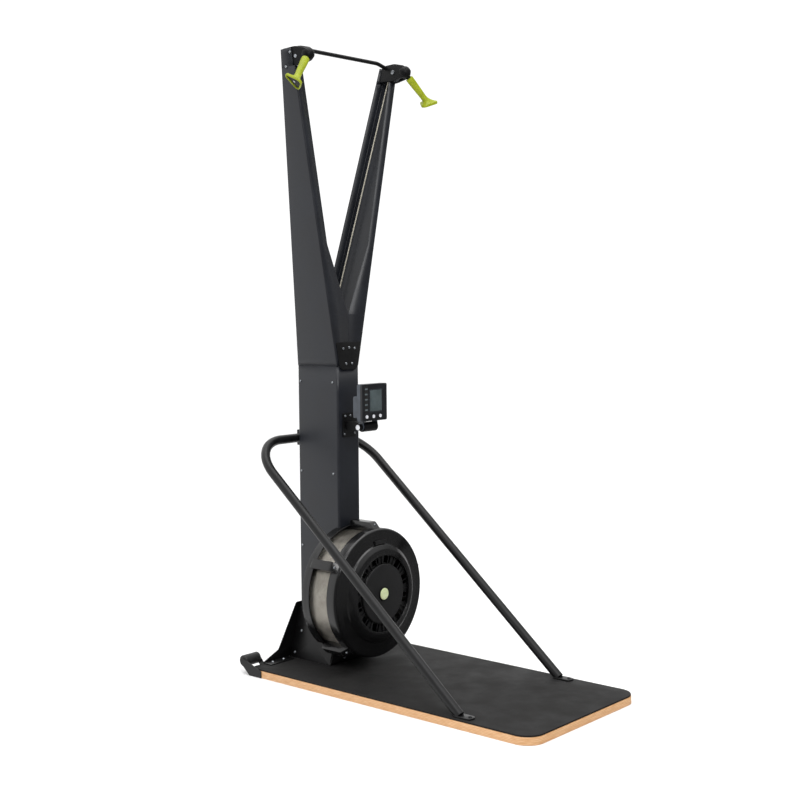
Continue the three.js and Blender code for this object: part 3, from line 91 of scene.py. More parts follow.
def finish(name, dark, light, rough, mottle, grain, relief, stretch=(1.0, 1.0, 1.0), **sockets):
    """A material whose colour and roughness run between two values over patches of mottle millimetres, and whose
    bump is a grain of that size and relief in millimetres. Further sockets of its shader are set by name."""
    made = bpy.data.materials.new(name)
    made.use_nodes = True
    tree = made.node_tree
    shader = tree.nodes["Principled BSDF"]
    for key, value in sockets.items():
        shader.inputs[key.replace("_", " ")].default_value = value
    place = node(tree, "ShaderNodeTexCoord").outputs["Object"]
    place = node(tree, "ShaderNodeMapping", {"Vector": place, "Scale": stretch}).outputs[0]
    patches = node(tree, "ShaderNodeTexNoise", {"Vector": place, "Scale": 1000 / mottle, "Detail": 5.0}).outputs[0]
    share = node(tree, "ShaderNodeMapRange", {"Value": patches, "From Min": 0.35, "From Max": 0.65}).outputs[0]
    colour = node(tree, "ShaderNodeMix", {0: share, 6: linear(dark), 7: linear(light)}, data_type="RGBA")
    tree.links.new(colour.outputs[2], shader.inputs["Base Color"])
    spread = node(tree, "ShaderNodeMapRange", {"Value": share, "To Min": rough[0], "To Max": rough[1]})
    tree.links.new(spread.outputs[0], shader.inputs["Roughness"])
    grains = node(tree, "ShaderNodeTexNoise", {"Vector": place, "Scale": 1000 / grain, "Detail": 2.0}).outputs[0]
    bump = node(tree, "ShaderNodeBump", {"Height": grains, "Distance": relief / 1000})
    tree.links.new(bump.outputs[0], shader.inputs["Normal"])
    return made


def rounded(points, radii, steps=6, closed=False):
    """A line with its corners made arcs. With a and b the unit vectors from a corner to its neighbours and h half
    the angle between them, an arc of radius r starts r / tan h along a and turns about r / sin h along a + b."""
    points = np.asarray(points, float)
    corner = points if closed else points[1:-1]
    a = np.roll(points, 1, 0) - points if closed else points[:-2] - corner
    b = np.roll(points, -1, 0) - points if closed else points[2:] - corner
    long_a, long_b = (np.linalg.norm(v, axis=1, keepdims=True) for v in (a, b))
    a, b = a / long_a, b / long_b
    half = np.arccos(np.clip((a * b).sum(1, keepdims=True), -1, 1)) / 2
    radius = np.broadcast_to(np.reshape(np.asarray(radii, float), (-1, 1)), half.shape)
    radius = np.minimum(radius, np.minimum(long_a, long_b) / 2.001 * np.tan(half))
    middle = corner + (a + b) / np.linalg.norm(a + b, axis=1, keepdims=True) * radius / np.sin(half)
    start = corner + a * radius / np.tan(half)
    turn = (np.pi - 2 * half)[:, None] * np.linspace(0, 1, steps + 1)[:, None]
    arcs = middle[:, None] + (start - middle)[:, None] * np.cos(turn) - (a * radius)[:, None] * np.sin(turn)
    line = arcs.reshape(-1, points.shape[1])
    return line if closed else np.concatenate([points[:1], line, points[-1:]])


def tube(path, radius, across, sides=24):
    """A grid of rings along a path: a ring is the path's point plus the radius times the cosine and the sine of the
    turn along two unit vectors square to the path, of which the first is also square to across."""
    path = np.asarray(path, float)
    along = np.gradient(path, axis=0)
    along /= np.linalg.norm(along, axis=1, keepdims=True)
    side = np.cross(along, across)
    side /= np.linalg.norm(side, axis=1, keepdims=True)
    turn = np.linspace(0, 2 * np.pi, sides, endpoint=False)[:, None]
    ring = np.cos(turn) * side[:, None] + np.sin(turn) * np.cross(along, side)[:, None]
    grid = path[:, None] + np.broadcast_to(radius, len(path))[:, None, None] * ring
    ends = [np.broadcast_to(path[i], (1, sides, 3)) for i in (0, -1)]
    return np.concatenate([ends[0], grid, ends[1]])


def surface(name, *grids, crease=35):
    """A mesh with a quad between each four neighbouring points of the grids, whose rows close on themselves. Points
    that lie together are merged and faces turned outwards. Its UV map is the share of the turn round a row, and the
    distance along the rows in metres."""
    points, quads, places, first = [], [], [], 0
    for grid in grids:
        rows, columns = grid.shape[:2]
        index = first + np.arange(rows * columns).reshape(rows, columns)
        after = np.roll(index, -1, 1)
        quads.append(np.stack([index[:-1], after[:-1], after[1:], index[1:]], 2).reshape(-1, 4))
        steps = np.linalg.norm(np.diff(grid[:, 0], axis=0), axis=1)
        along = np.concatenate([[0], np.cumsum(steps)]) / 1000
        uv = np.stack(np.meshgrid(np.arange(columns + 1) / columns, along), 2)
        places.append(np.stack([uv[:-1, :-1], uv[:-1, 1:], uv[1:, 1:], uv[1:, :-1]], 2).reshape(-1, 2))
        points.append(grid.reshape(-1, 3) / 1000)
        first += rows * columns
    mesh = bpy.data.meshes.new(name)
    mesh.from_pydata(np.concatenate(points).tolist(), [], np.concatenate(quads).tolist())
    mesh.uv_layers.new(name="surface").data.foreach_set("uv", np.concatenate(places).astype(np.float32).ravel())
    shaped = bmesh.new()
    shaped.from_mesh(mesh)
    bmesh.ops.remove_doubles(shaped, verts=shaped.verts, dist=1e-6)
    bmesh.ops.recalc_face_normals(shaped, faces=shaped.faces)
    shaped.to_mesh(mesh)
    shaped.free()
    mesh.shade_smooth()
    mesh.set_sharp_from_angle(angle=math.radians(crease))
    made = bpy.data.objects.new(name, mesh)
    bpy.context.scene.collection.objects.link(made)
    return made


def fit(piece, look, body, slot, *nodes):
    """Gives a piece its material and its body; the slot is not used. It stands for the CAD nodes that are named, and
    hides them.
    """
    piece.data.materials.clear()
    piece.data.materials.append(look)
    if nodes:
        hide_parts(*nodes)
    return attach(piece, body) if body else piece


MIRROR = np.array([-1.0, 1.0, 1.0])
UP = np.array([0.0, 0.0, 1.0])
BACKWARD = np.array([0.0, 1.0, 0.0])
SIDEWAYS = np.array([1.0, 0.0, 0.0])
HUB_HEIGHT = 289
CORD_RADIUS = 2.2
SHOCK_CORD_RADIUS = 3.5
STRANDS_ROUND = 4.0
STRANDS_PER_METRE = 290.0

# Braided polyester: strands cross in a diamond pattern, each painted with a soft highlight and with painted shade
# in the gap beside it. The real strands are about 0.6 mm wide, and are drawn at 1.7 mm so that the braid shows.
braid = finish("braided_polyester", "#8d8878", "#c9c3b2", (0.7, 0.85), 3.0, 0.5, 0.05, Sheen_Weight=0.3)
tree = braid.node_tree
wound = node(tree, "ShaderNodeSeparateXYZ", {0: node(tree, "ShaderNodeUVMap", uv_map="surface").outputs[0]}).outputs
along = node(tree, "ShaderNodeMath", {0: wound[1], 1: STRANDS_PER_METRE}, operation="MULTIPLY").outputs[0]
strands = []
for way in (STRANDS_ROUND, -STRANDS_ROUND):
    lean = node(tree, "ShaderNodeMath", {0: wound[0], 1: way, 2: along}, operation="MULTIPLY_ADD").outputs[0]
    lean = node(tree, "ShaderNodeMath", {0: lean, 1: 2 * math.pi}, operation="MULTIPLY").outputs[0]
    strands.append(node(tree, "ShaderNodeMath", {0: lean}, operation="SINE").outputs[0])
crossed = node(tree, "ShaderNodeMath", {0: strands[0], 1: strands[1]}, operation="MAXIMUM").outputs[0]
# The strands' relief is also painted into their colour: painted highlight on each strand, painted shade in the gaps.
shade = node(tree, "ShaderNodeMapRange", {"Value": crossed, "From Min": -0.4, "From Max": 0.9}).outputs[0]
painted_strand_shading = node(tree, "ShaderNodeMix", {0: shade, 6: linear("#6f6a5c"), 7: linear("#cfc9b8")}, data_type="RGBA")
relief = node(tree, "ShaderNodeBump", {"Height": shade, "Distance": 0.0004})
shader = tree.nodes["Principled BSDF"]
tree.links.new(painted_strand_shading.outputs[2], shader.inputs["Base Color"])
tree.links.new(relief.outputs[0], shader.inputs["Normal"])

cord_run = np.array([
    [37, 59, 1040], [37, 59, 1100], [243.4, -89.3, 2113.1], [244.2, -89, 2117], [246.1, -90.7, 2126.4],
    [247.7, -95.6, 2134.6], [248.9, -103, 2140.8], [249.6, -112.1, 2144], [249.6, -121.9, 2144],
    [248.9, -131, 2140.8], [248.2, -136.1, 2137.1], [246.3, -147.5, 2127.5], [244.8, -156.5, 2119.8],
    [246.2, -160.8, 2114.6], [258.5, -164.9, 2101],
])
for side, drum, way in (("right", 0, 1), ("left", -55, MIRROR)):
    route = rounded(np.concatenate([[[-27.6, drum, HUB_HEIGHT]], cord_run * way]), 40, 4)
    cord = surface(side + "_cord", tube(route, CORD_RADIUS, SIDEWAYS, 16))
    fit(cord, braid, "frame", "cord", side + "_drive_cord")

loop = rounded([[-17.8, -90.7, 344.6], [-17.8, -90.7, 1017.8], [17.8, -90.7, 1017.8], [17.8, -90.7, 344.6]], 17.7, 12)
shock_cord = surface("shock_cord", tube(loop, SHOCK_CORD_RADIUS, BACKWARD, 16))
fit(shock_cord, braid, "frame", "cord", "return_shock_cord")

# Pull-out length of the drive cords
# The same rope between the housing's nose and the handle, drawn at rest: the short piece inside the nose and the cord
# stop. On the machine it pays out as the handle is pulled.
nose = np.array([244.21, -160.0, 2117.0])
pull = np.array([0.64888, -0.22496, -0.72687])
for side, way in (("right", 1), ("left", MIRROR)):
    steps = np.linspace(8.0, 27.5, 40)[:, None]
    grid = tube((nose + pull * steps) * way, CORD_RADIUS, SIDEWAYS, 16)
    grid[0], grid[-1] = grid[1], grid[-2]
    stub = fit(surface(side + "_pulled_cord", grid), braid, None, "cord")
    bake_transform(stub)

# Board
# A sheet of birch plywood, cut with round corners, its edge sanded, broken by a small round and lacquered clear,
# so that its layers show as fine stripes.


def plate(line, low, high, edge=0.8, axes="xyz", origin=(0, 0, 0), steps=3):
    """A grid of rings for a flat plate with rounded rims. At turn t of a quarter round the outline is drawn in along
    its normal by edge (1 - sin t) and lies edge (1 - cos t) from the face, and both faces close at their middle."""
    line = np.asarray(line, float)
    ahead = np.roll(line, -1, 0) - np.roll(line, 1, 0)
    ahead /= np.linalg.norm(ahead, axis=1, keepdims=True)
    outward = np.stack([ahead[:, 1], -ahead[:, 0]], 1)
    area = (line[:, 0] * np.roll(line[:, 1], -1) - line[:, 1] * np.roll(line[:, 0], -1)).sum()
    outward *= np.sign(area)
    turn = np.linspace(0, np.pi / 2, steps + 1)
    inset, rise = edge * (1 - np.sin(turn)), edge * (1 - np.cos(turn))
    insets = np.concatenate([inset, inset[::-1]])
    heights = np.concatenate([low + rise, high - rise[::-1]])
    flat = line - insets[:, None, None] * outward
    middle = np.broadcast_to(line.mean(0), (1, *line.shape))
    flat = np.concatenate([middle, flat, middle])
    heights = np.concatenate([[low], heights, [high]])
    u, v, w = np.eye(3)[["xyz".index(c) for c in axes]] if isinstance(axes, str) else np.asarray(axes, float)
    return np.asarray(origin) + flat[..., :1] * u + flat[..., 1:] * v + heights[:, None, None] * w


def corners(x0, y0, x1, y1, radii, steps=6):
    """The outline of a rectangle between two corners, with its own corners rounded."""
    return rounded([[x0, y0], [x1, y0], [x1, y1], [x0, y1]], radii, steps, closed=True)


TWO_LAYERS = 0.0046

# Lacquered birch: 2.3 mm layers, every second one showing darker end grain, with 30 mm streaks of the long grain.
birch = finish("lacquered_birch_plywood", "#cf9c68", "#e6bd90", (0.42, 0.6), 30.0, 1.2, 0.04, (1.0, 1.0, 14.0),
               Coat_Weight=0.25, Coat_Roughness=0.3)
tree = birch.node_tree
height = node(tree, "ShaderNodeSeparateXYZ", {0: node(tree, "ShaderNodeTexCoord").outputs["Object"]}).outputs[2]
waves = node(tree, "ShaderNodeMath", {0: height, 1: 2 * math.pi / TWO_LAYERS}, operation="MULTIPLY").outputs[0]
waves = node(tree, "ShaderNodeMath", {0: waves}, operation="SINE").outputs[0]
ply = {"Value": waves, "From Min": -0.3, "From Max": 0.3, "To Max": 0.4}
layers = node(tree, "ShaderNodeMapRange", ply).outputs[0]
shader = tree.nodes["Principled BSDF"]
grain = shader.inputs["Base Color"].links[0].from_socket
striped = node(tree, "ShaderNodeMix", {0: layers, 6: grain, 7: linear("#a9713d")}, data_type="RGBA")
tree.links.new(striped.outputs[2], shader.inputs["Base Color"])
board = surface("board", plate(corners(-300, -1096, 300, 104, [62, 62, 10, 10], 16), 0, 25, 1.6))
fit(board, birch, "frame", "plywood", "plywood_board")

# Mat
# A sheet of black rubber glued to the board, 5 mm thick, with a fine pebbled tread and a trimmed, rounded rim.

# Calendered rubber: nearly black and dull, with pebbles of about 2.6 mm that catch a little light on their tops.
pebbled = finish("pebbled_rubber", "#0f0e0e", "#171615", (0.66, 0.84), 90.0, 2.6, 0.35, Specular_IOR_Level=0.3)
mat = surface("mat", plate(corners(-298.5, -1094.5, 298.5, 102.5, [60.5, 60.5, 8.5, 8.5], 16), 25.3, 30.3, 1.4))
fit(mat, pebbled, "frame", "rubber_mat", "rubber_mat")

# Base bracket
# Folded sheet steel, 3 mm thick: a spread back sheet with two feet, two leaning side sheets and a low front sheet,
# powder coated black and bolted through the board.
MAT_TOP = 30.6
SHEET = 3.0
COLUMN_FACE = 99.3

# Powder coat: paint powder fused in an oven, satin, with the faint orange peel of about 1.5 mm that it dries with.
black_coat = finish("powder_coat_black", "#0a0a0b", "#0f0f10", (0.32, 0.42), 60.0, 1.5, 0.04, Specular_IOR_Level=0.35)
spread_sheet = rounded([[-242, MAT_TOP], [242, MAT_TOP], [242, 34.5], [167, 66], [75, 222], [-75, 222], [-167, 66],
                        [-242, 34.5]], [0.6, 0.6, 1.5, 14, 10, 10, 14, 1.5], closed=True)
feet = [plate(corners(x, 60.3, x + 114, 102, 2), MAT_TOP, MAT_TOP + SHEET, 0.7) for x in (128, -242)]
back_sheet = surface("base_back_sheet", plate(spread_sheet, COLUMN_FACE, COLUMN_FACE + SHEET, 0.7, "xzy"), *feet)
fit(back_sheet, black_coat, "frame", "black_paint", "base_back_plate")
LEAN = -0.296
side_sheet = rounded([[-99, MAT_TOP], [98.7, MAT_TOP], [98.7, 210], [-99, 108]], [1, 1, 6, 6], closed=True)
for side, way in (("right", 1.0), ("left", -1.0)):
    axes = [[0, 1, 0], [way * LEAN, 0, 1], [way, 0, 0]]
    grid = plate(side_sheet, 109, 109 + SHEET, 0.7, axes, (-way * LEAN * MAT_TOP, 0, 0))
    fit(surface(side + "_base_side_sheet", grid), black_coat, "frame", "black_paint", side + "_base_gusset")
low_sheet = rounded([[-112, MAT_TOP], [112, MAT_TOP], [88, 84], [-88, 84]], [1, 1, 4, 4], closed=True)
front_sheet = surface("base_front_sheet", plate(low_sheet, -COLUMN_FACE - SHEET, -COLUMN_FACE, 0.7, "xzy"))
fit(front_sheet, black_coat, "frame", "black_paint", "base_front_plate")

# Column
# One sheet of steel folded four times into a box that stays open at the back, powder coated dark grey, and a black
# cover sheet screwed over the opening.


def sheet(name, grid, wall):
    """A folded sheet: the grid's quads, with its outer side to the left of its rows as they rise, and the wall's
    thickness laid on from behind."""
    rows, columns = grid.shape[:2]
    index = np.arange(rows * columns).reshape(rows, columns)
    quads = np.stack([index[:-1, :-1], index[:-1, 1:], index[1:, 1:], index[1:, :-1]], 2).reshape(-1, 4)
    mesh = bpy.data.meshes.new(name)
    mesh.from_pydata((grid.reshape(-1, 3) / 1000).tolist(), [], quads.tolist())
    mesh.shade_smooth()
    made = bpy.data.objects.new(name, mesh)
    bpy.context.scene.collection.objects.link(made)
    thick = made.modifiers.new("wall", "SOLIDIFY")
    thick.thickness = wall / 1000
    thick.offset = -1
    thick.use_even_offset = True
    return made


COLUMN_HALF = 55.0
COLUMN_TOP = 1078.0

# The panels' powder coat is a shade lighter and bluer, and its satin face takes a broad soft light.
panel_coat = finish("powder_coat_graphite", "#14161c", "#1a1d24", (0.36, 0.46), 140.0, 1.5, 0.04)
fold = rounded([[-32, 99], [-COLUMN_HALF, 99], [-COLUMN_HALF, -99], [COLUMN_HALF, -99], [COLUMN_HALF, 99], [32, 99]],
               9, 8)
rise = np.linspace(MAT_TOP, COLUMN_TOP, 12)
wall = np.stack([*np.broadcast_to(fold.T[:, None], (2, 12, len(fold))), np.tile(rise[:, None], len(fold))], 2)
fit(sheet("column", wall, SHEET), panel_coat, "frame", "panel_paint", "column_shell")
COVER = 2.0
cover = plate(corners(-46, 232, 46, 1068, 3), COLUMN_FACE, COLUMN_FACE + COVER, 0.6, "xzy")
fit(surface("column_cover", cover), black_coat, "frame", "black_paint", "column_back_cover")

# Arms
# Each arm is a tapered channel of folded sheet that opens inwards. Its front flange widens downwards until it meets
# the other arm's, and stops below the pulley housing, which hangs between the flange's end and the channel's web.
ARM_RISE = 1063.0
ARM_SPREAD = 212.0
climb = np.concatenate([np.linspace(1078.3, 1259, 8), np.linspace(1260, 1500, 13), np.linspace(1501, 2085, 20)])
crest = np.linspace(2084.9, 2141, 5)


def arm_fold(height, front_edge):
    """Rows of points round the channel at each height, from the front flange's edge past the two bends to the back
    flange's edge. A bend's points lie 6 (1 - sin t) and 6 (1 - cos t) from the two faces that it joins."""
    share = ((height - COLUMN_TOP) / ARM_RISE)[:, None]
    outer, front, back = COLUMN_HALF + ARM_SPREAD * share, -99 - 10 * share, 99 - 151 * share
    turn = np.linspace(0, np.pi / 2, 7)
    near, far = 6 * (1 - np.sin(turn)), 6 * (1 - np.cos(turn))
    x = np.concatenate([front_edge[:, None], outer - near, outer - far, outer - 36], 1)
    y = np.concatenate([front, front + far, back - near, back], 1)
    return np.stack([x, y, np.broadcast_to(height[:, None], x.shape)], 2)


flange_edge = 19 + (climb - COLUMN_TOP) * ARM_SPREAD / ARM_RISE
meeting_edge = np.interp(climb, [1260, 1500], [0.15, 19 + (1500 - COLUMN_TOP) * ARM_SPREAD / ARM_RISE])
lower_fold = arm_fold(climb, np.where(climb < 1500, meeting_edge, flange_edge))
upper_fold = arm_fold(crest, COLUMN_HALF + (crest - COLUMN_TOP) * ARM_SPREAD / ARM_RISE - 3)[:, 7:]
for side, way in (("right", 1), ("left", MIRROR)):
    for part, grid in (("arm_channel", lower_fold), ("arm_top", upper_fold)):
        made = sheet(f"{side}_{part}", grid * way if side == "right" else (grid * way)[:, ::-1], SHEET)
        fit(made, panel_coat, "frame", "panel_paint", *([side + "_arm"] if part == "arm_channel" else []))

# Splice plate and joint block
# A black plate screwed over the front of the joint between column and arms, and the welded steel block inside it
# that the column and both arms are bolted to.
SPLICE_FACE = -103.1
splice = rounded([[-34, 1066], [34, 1066], [46, COLUMN_TOP], [63.7, 1162], [-63.7, 1162], [-46, COLUMN_TOP]],
                 [4, 4, 8, 4, 4, 8], closed=True)
splice_plate = surface("splice_plate", plate(splice, SPLICE_FACE, SPLICE_FACE + SHEET, 0.6, "xzy"))
fit(splice_plate, black_coat, "frame", "black_paint", "throat_plate")

# Bright zinc plating over turned or pressed steel: a cool grey with fine turning marks and soft reflections.
zinc = finish("zinc_plated_steel", "#8f9398", "#b9bdc1", (0.25, 0.4), 6.0, 0.6, 0.02, Metallic=1.0)


def dress(look, *names):
    """Gives CAD nodes that stay in view their material."""
    for name in names:
        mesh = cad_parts[name].data
        mesh.materials.clear()
        mesh.materials.append(look)


dress(zinc, "arm_joint_block")

# Screws and bolts
# Zinc-plated button heads with a round socket. They hold the folded sheets, the monitor's bracket, the brace's
# saddle and the base. The two in the brace's feet are painted black.


def lathe(profile, centre=(0, 0, 0), axis=(0, 1, 0), sides=96):
    """A grid of rings: each point of the profile, a radius and a place along the axis, makes a full turn."""
    profile, axis = np.asarray(profile, float), np.asarray(axis, float) / np.linalg.norm(axis)
    first = np.cross(axis, UP if abs(axis[2]) < 0.9 else SIDEWAYS)
    first /= np.linalg.norm(first)
    turn = np.linspace(0, 2 * np.pi, sides, endpoint=False)[:, None]
    ring = np.cos(turn) * first + np.sin(turn) * np.cross(axis, first)
    return np.asarray(centre) + profile[:, None, :1] * ring + profile[:, None, 1:] * axis


def mirrored(places):
    """The same places on the machine's left."""
    return [tuple(place) for place in np.array(places) * MIRROR]


def heads(places, way, radius):
    """Grids of button heads at these places, whose tops face the given way."""
    dome = np.array([[0, 0.3], [0.42, 0.3], [0.46, 0.62], [0.62, 0.62], [0.86, 0.46], [1, 0.12], [1, -0.05],
                     [0, -0.05]])
    return [lathe(dome * radius, place, way, 20) for place in places]


side_places = [(COLUMN_HALF, y, z) for y, z in ((-73, 1022), (-73, 700), (84, 1022), (84, 700), (84, 430))]
arm_way = np.array([1, 0, -0.19944])
arm_places = [(COLUMN_HALF + (z - COLUMN_TOP) * ARM_SPREAD / ARM_RISE, y, z) for y, z in ((-97, 2128), (-69, 2085))]
splice_places = [(x, SPLICE_FACE, z) for x, z in ((-29, 1140), (0, 1143), (29, 1140), (-15, 1087), (15, 1087))]
bracket_places = [(x, -COLUMN_FACE - SHEET, z) for x, z in ((-22, 903), (4, 903), (-26, 840), (26, 840))]
cover_places = [(x, COLUMN_FACE + COVER, z) for x in (-39, 39) for z in (250, 420, 590, 740, 890, 1050)]
sheet_screws = [
    *heads(side_places, SIDEWAYS, 4.2), *heads(mirrored(side_places), -SIDEWAYS, 4.2),
    *heads(arm_places, arm_way, 4.6), *heads(mirrored(arm_places), arm_way * MIRROR, 4.6),
    *heads(splice_places, -BACKWARD, 4.6), *heads(bracket_places, -BACKWARD, 4.4),
    *heads(cover_places, BACKWARD, 3.8),
    *heads([(x, 139.6, z) for x in (-14, 14) for z in (791.5, 836.5)], BACKWARD, 4.4),
]
fit(surface("sheet_screws", *sheet_screws), zinc, "frame", "steel")
gusset_way = np.array([1, 0, -LEAN])
gusset_places = [(112 + LEAN * (z - MAT_TOP), y, z) for y, z in ((65, 124), (78, 48))]
base_bolts = [
    *heads([(x, 82, MAT_TOP + SHEET) for x in (212, -212, 160, -160)], UP, 6),
    *heads(gusset_places, gusset_way, 5), *heads(mirrored(gusset_places), gusset_way * MIRROR, 5),
    *heads([(x, -COLUMN_FACE - SHEET, 44) for x in (-39, 39)], -BACKWARD, 5),
]
fit(surface("base_bolts", *base_bolts), zinc, "frame", "steel")
FOOT_PLATE = 5.0
foot_bolts = heads([(x, -846, MAT_TOP + FOOT_PLATE) for x in (-270, 270)], UP, 6)
fit(surface("foot_bolts", *foot_bolts), black_coat, "frame", "black_paint")

# Pulley housings and their axles
# Moulded glass-filled nylon: two cheeks between the arm's web and flange, with a slot for the cord, that close in a
# round nose with the cord's mouth. A steel axle goes across.

# Glass-filled nylon: matt black with a fine spark-eroded grain of about 0.8 mm, a little shiny where it bends.
nylon = finish("glass_filled_nylon", "#060607", "#0b0b0d", (0.45, 0.58), 45.0, 0.8, 0.05, Specular_IOR_Level=0.2)
NOSE_RADIUS = 22.0
MOUTH_RADIUS = 6.4
CHEEK_OUTSIDE = 14.41
ARM_TILT = math.atan(ARM_SPREAD / ARM_RISE)
across = np.array([math.cos(ARM_TILT), 0, -math.sin(ARM_TILT)])
upward = np.array([math.sin(ARM_TILT), 0, math.cos(ARM_TILT)])
pulley_place = np.array([244.21, -117.0, 2117.0])
cheek = rounded([[57, -29], [57, 29], [0, 32], [-43, 22], [-60, 10], [-60, -10], [-43, -22], [0, -32]],
                [5, 5, 60, 14, 10, 10, 14, 60], closed=True)
mouth = math.asin(MOUTH_RADIUS / NOSE_RADIUS)
ball = [[NOSE_RADIUS * math.sin(t), NOSE_RADIUS * math.cos(t)] for t in np.linspace(mouth, math.pi - mouth, 24)]
ball += [[5.5, -19.6], [5.5, 19.6], [MOUTH_RADIUS, 21.05]]
dress(zinc, "right_pulley_axle", "left_pulley_axle")
nut = np.array([[0, 0.5], [0.6, 0.5], [0.62, 0.35], [1, 0.35], [1.08, 0.22], [1.08, -0.03], [0, -0.03]])
for side, way in (("right", 1), ("left", MIRROR)):
    axes = [BACKWARD, upward, across]
    sides = ((-CHEEK_OUTSIDE, -6.5), (6.5, CHEEK_OUTSIDE))
    grids = [plate(cheek, low, high, 1.2, axes, pulley_place) for low, high in sides]
    grids.append(lathe(ball, nose, pull, 40))
    fit(surface(side + "_pulley_block", *[grid * way for grid in grids]), nylon, "frame", "black_plastic",
        side + "_pulley_housing")
    outside = lathe(nut * 5.6, pulley_place + across * CHEEK_OUTSIDE, across, 24) * way
    fit(surface(side + "_axle_nut", outside), zinc, "frame", "steel")

# Top pulleys
# Turned from grey acetal, with a round groove for the cord between two flanges.

# Turned acetal: a mid grey with a low, even shine and tool marks of about 0.9 mm.
acetal = finish("turned_acetal", "#3b3d40", "#4a4d51", (0.32, 0.42), 20.0, 0.9, 0.02)
groove_turn = np.linspace(0.25, math.pi - 0.25, 12)
groove = [[29.6 - 5.1 * math.sin(t), -2.9 * math.cos(t)] for t in groove_turn]
rim = [[4.3, -5.5], [12, -5.5], [13, -4.2], [24, -4.2], [25, -5.5], [28.4, -5.5], [29, -4.9], [29, -4.3], *groove,
       [29, 4.3], [29, 4.9], [28.4, 5.5], [25, 5.5], [24, 4.2], [13, 4.2], [12, 5.5], [4.3, 5.5], [4.3, -5.5]]
for side, way in (("right", 1), ("left", MIRROR)):
    wheel = surface(side + "_top_wheel", lathe(rim, pulley_place, across, 72) * way)
    fit(wheel, acetal, side + "_top_pulley", "grey_plastic", side + "_pulley")

# Crossbar
# A steel bar between the two pulley blocks, bent down a little at both ends and powder coated black.
bar = rounded([[-232.3, -80, 2139], [-187.3, -80, 2150], [187.3, -80, 2150], [232.3, -80, 2139]], 60, 8)
fit(surface("top_bar", tube(bar, 7, BACKWARD, 28)), black_coat, "frame", "black_paint", "crossbar")

# Handles
# Two equal moulded handles, each turned its own way on its cord. A grip runs out into a tilted, hollow,
# three-cornered end that holds a black plug and the cord's ferrule. A rubber stop sits on the cord above it.
TILT = math.radians(28)
CORNER_REACH = 22
END_BEND = 136.6

# Lime thermoplastic rubber over a moulded core: satin, faintly cloudy, with a fine grain.
lime = finish("lime_moulded_rubber", "#848f10", "#949f16", (0.4, 0.55), 24.0, 0.7, 0.015, Specular_IOR_Level=0.3)

# Moulded black rubber: dull, with a soft grain of about 0.8 mm and hardly a highlight.
stop_rubber = finish("black_rubber", "#0c0c0d", "#141414", (0.6, 0.75), 15.0, 0.8, 0.08)


def three_cornered(rows, turn, sides=36):
    """A grid round the handle's axis, turned by an angle about it. Each row is a corner radius r, a share m, a place
    d along the axis and a share t of the tilt: its points are m times 22 mm towards the nearest corner plus r along
    the normal, so m = 0 is a circle, and the row is tilted by t times 28 degrees. Past 136.6 mm the rows follow the
    tilted end's own axis."""
    towards = np.radians(60 + 120 * np.arange(3))[:, None]
    arc = towards + np.linspace(-np.pi / 3, np.pi / 3, sides)
    corner = np.stack([np.cos(towards), np.sin(towards)], 2)
    following = np.roll(corner, -1, 0)
    share = np.linspace(0, 1, 7)[1:-1][:, None]
    runs = corner + (following - corner) * share
    centres = np.concatenate([np.repeat(corner, sides, 1), runs], 1).reshape(-1, 2)
    angles = np.concatenate([arc, np.repeat(arc[:, -1:], 5, 1)], 1).reshape(-1)
    normals = np.stack([np.cos(angles), np.sin(angles)], 1)
    r, m, d, t = np.asarray(rows, float).T[:, :, None]
    first = UP - pull * pull[2]
    first /= np.linalg.norm(first)
    lean = math.cos(turn) * first + math.sin(turn) * np.cross(pull, first)
    beside = np.cross(pull, lean)
    flat = m[..., None] * CORNER_REACH * centres + r[..., None] * normals
    out = np.cos(TILT * t)[..., None] * lean - np.sin(TILT * t)[..., None] * pull
    end_way = math.cos(TILT) * pull + math.sin(TILT) * lean
    middle = np.minimum(d, END_BEND)[..., None] * pull + np.maximum(d - END_BEND, 0)[..., None] * end_way
    return nose + middle + flat[..., :1] * out + flat[..., 1:] * beside


palm = rounded([[11.6, 25.9], [13.5, 26.9], [13.5, 42], [12, 81], [10.8, 110], [11.2, 119]], [1, 20, 60, 40], 6)
grip_rows = [(0, 0, 25.9, 0), *[(r, 0, d, 0) for r, d in palm], (11.9, 0.03, 124, 0.12), (12.8, 0.12, 128.5, 0.4),
             (13.6, 0.32, 132, 0.72), (13.8, 0.6, 134.6, 0.92), (13.6, 0.86, 136.4, 1), (13.2, 0.98, 137, 1),
             (13.7, 1, 137.5, 1), (14, 1, 138.5, 1), (14, 1, 144.4, 1), (13.7, 1, 145.3, 1), (13, 1, 145.9, 1),
             (11.4, 1, 145.9, 1), (10.8, 1, 145.5, 1), (10.5, 1, 144.7, 1), (10.5, 1, 140, 1), (0, 0, 140, 1)]
plug_rows = [(0, 0, 140.1, 1), (10.2, 1, 140.1, 1), (10.2, 1, 140.9, 1), (9.4, 1, 141.4, 1), (6, 0.6, 141.6, 1),
             (0, 0, 141.6, 1)]
knot_rows = [(0, 0, 141.5, 1), (4.6, 0, 141.5, 1), (4.6, 0, 143.2, 1), (3.6, 0, 144, 1), (0, 0, 144, 1)]
bead = rounded([[0, 22.7], [8.5, 22.7], [8.5, 25.5], [0, 25.5]], 1.2, 6)
for side, way, turn in (("right", 1, math.radians(-148)), ("left", MIRROR, math.radians(-111))):
    grip = side + "_grip"
    handle = surface(side + "_pull_handle", three_cornered(grip_rows, turn) * way, crease=50)
    fit(handle, lime, grip, "lime_plastic", side + "_handle")
    plug = surface(side + "_handle_plug", three_cornered(plug_rows, turn) * way)
    fit(plug, stop_rubber, grip, "rubber_stop")
    fit(surface(side + "_cord_end", three_cornered(knot_rows, turn, 8) * way), zinc, grip, "steel")
    collar = surface(side + "_stop_bead", lathe(bead, nose, pull, 40) * way)
    fit(collar, stop_rubber, grip, "rubber_stop", side + "_cord_stop")

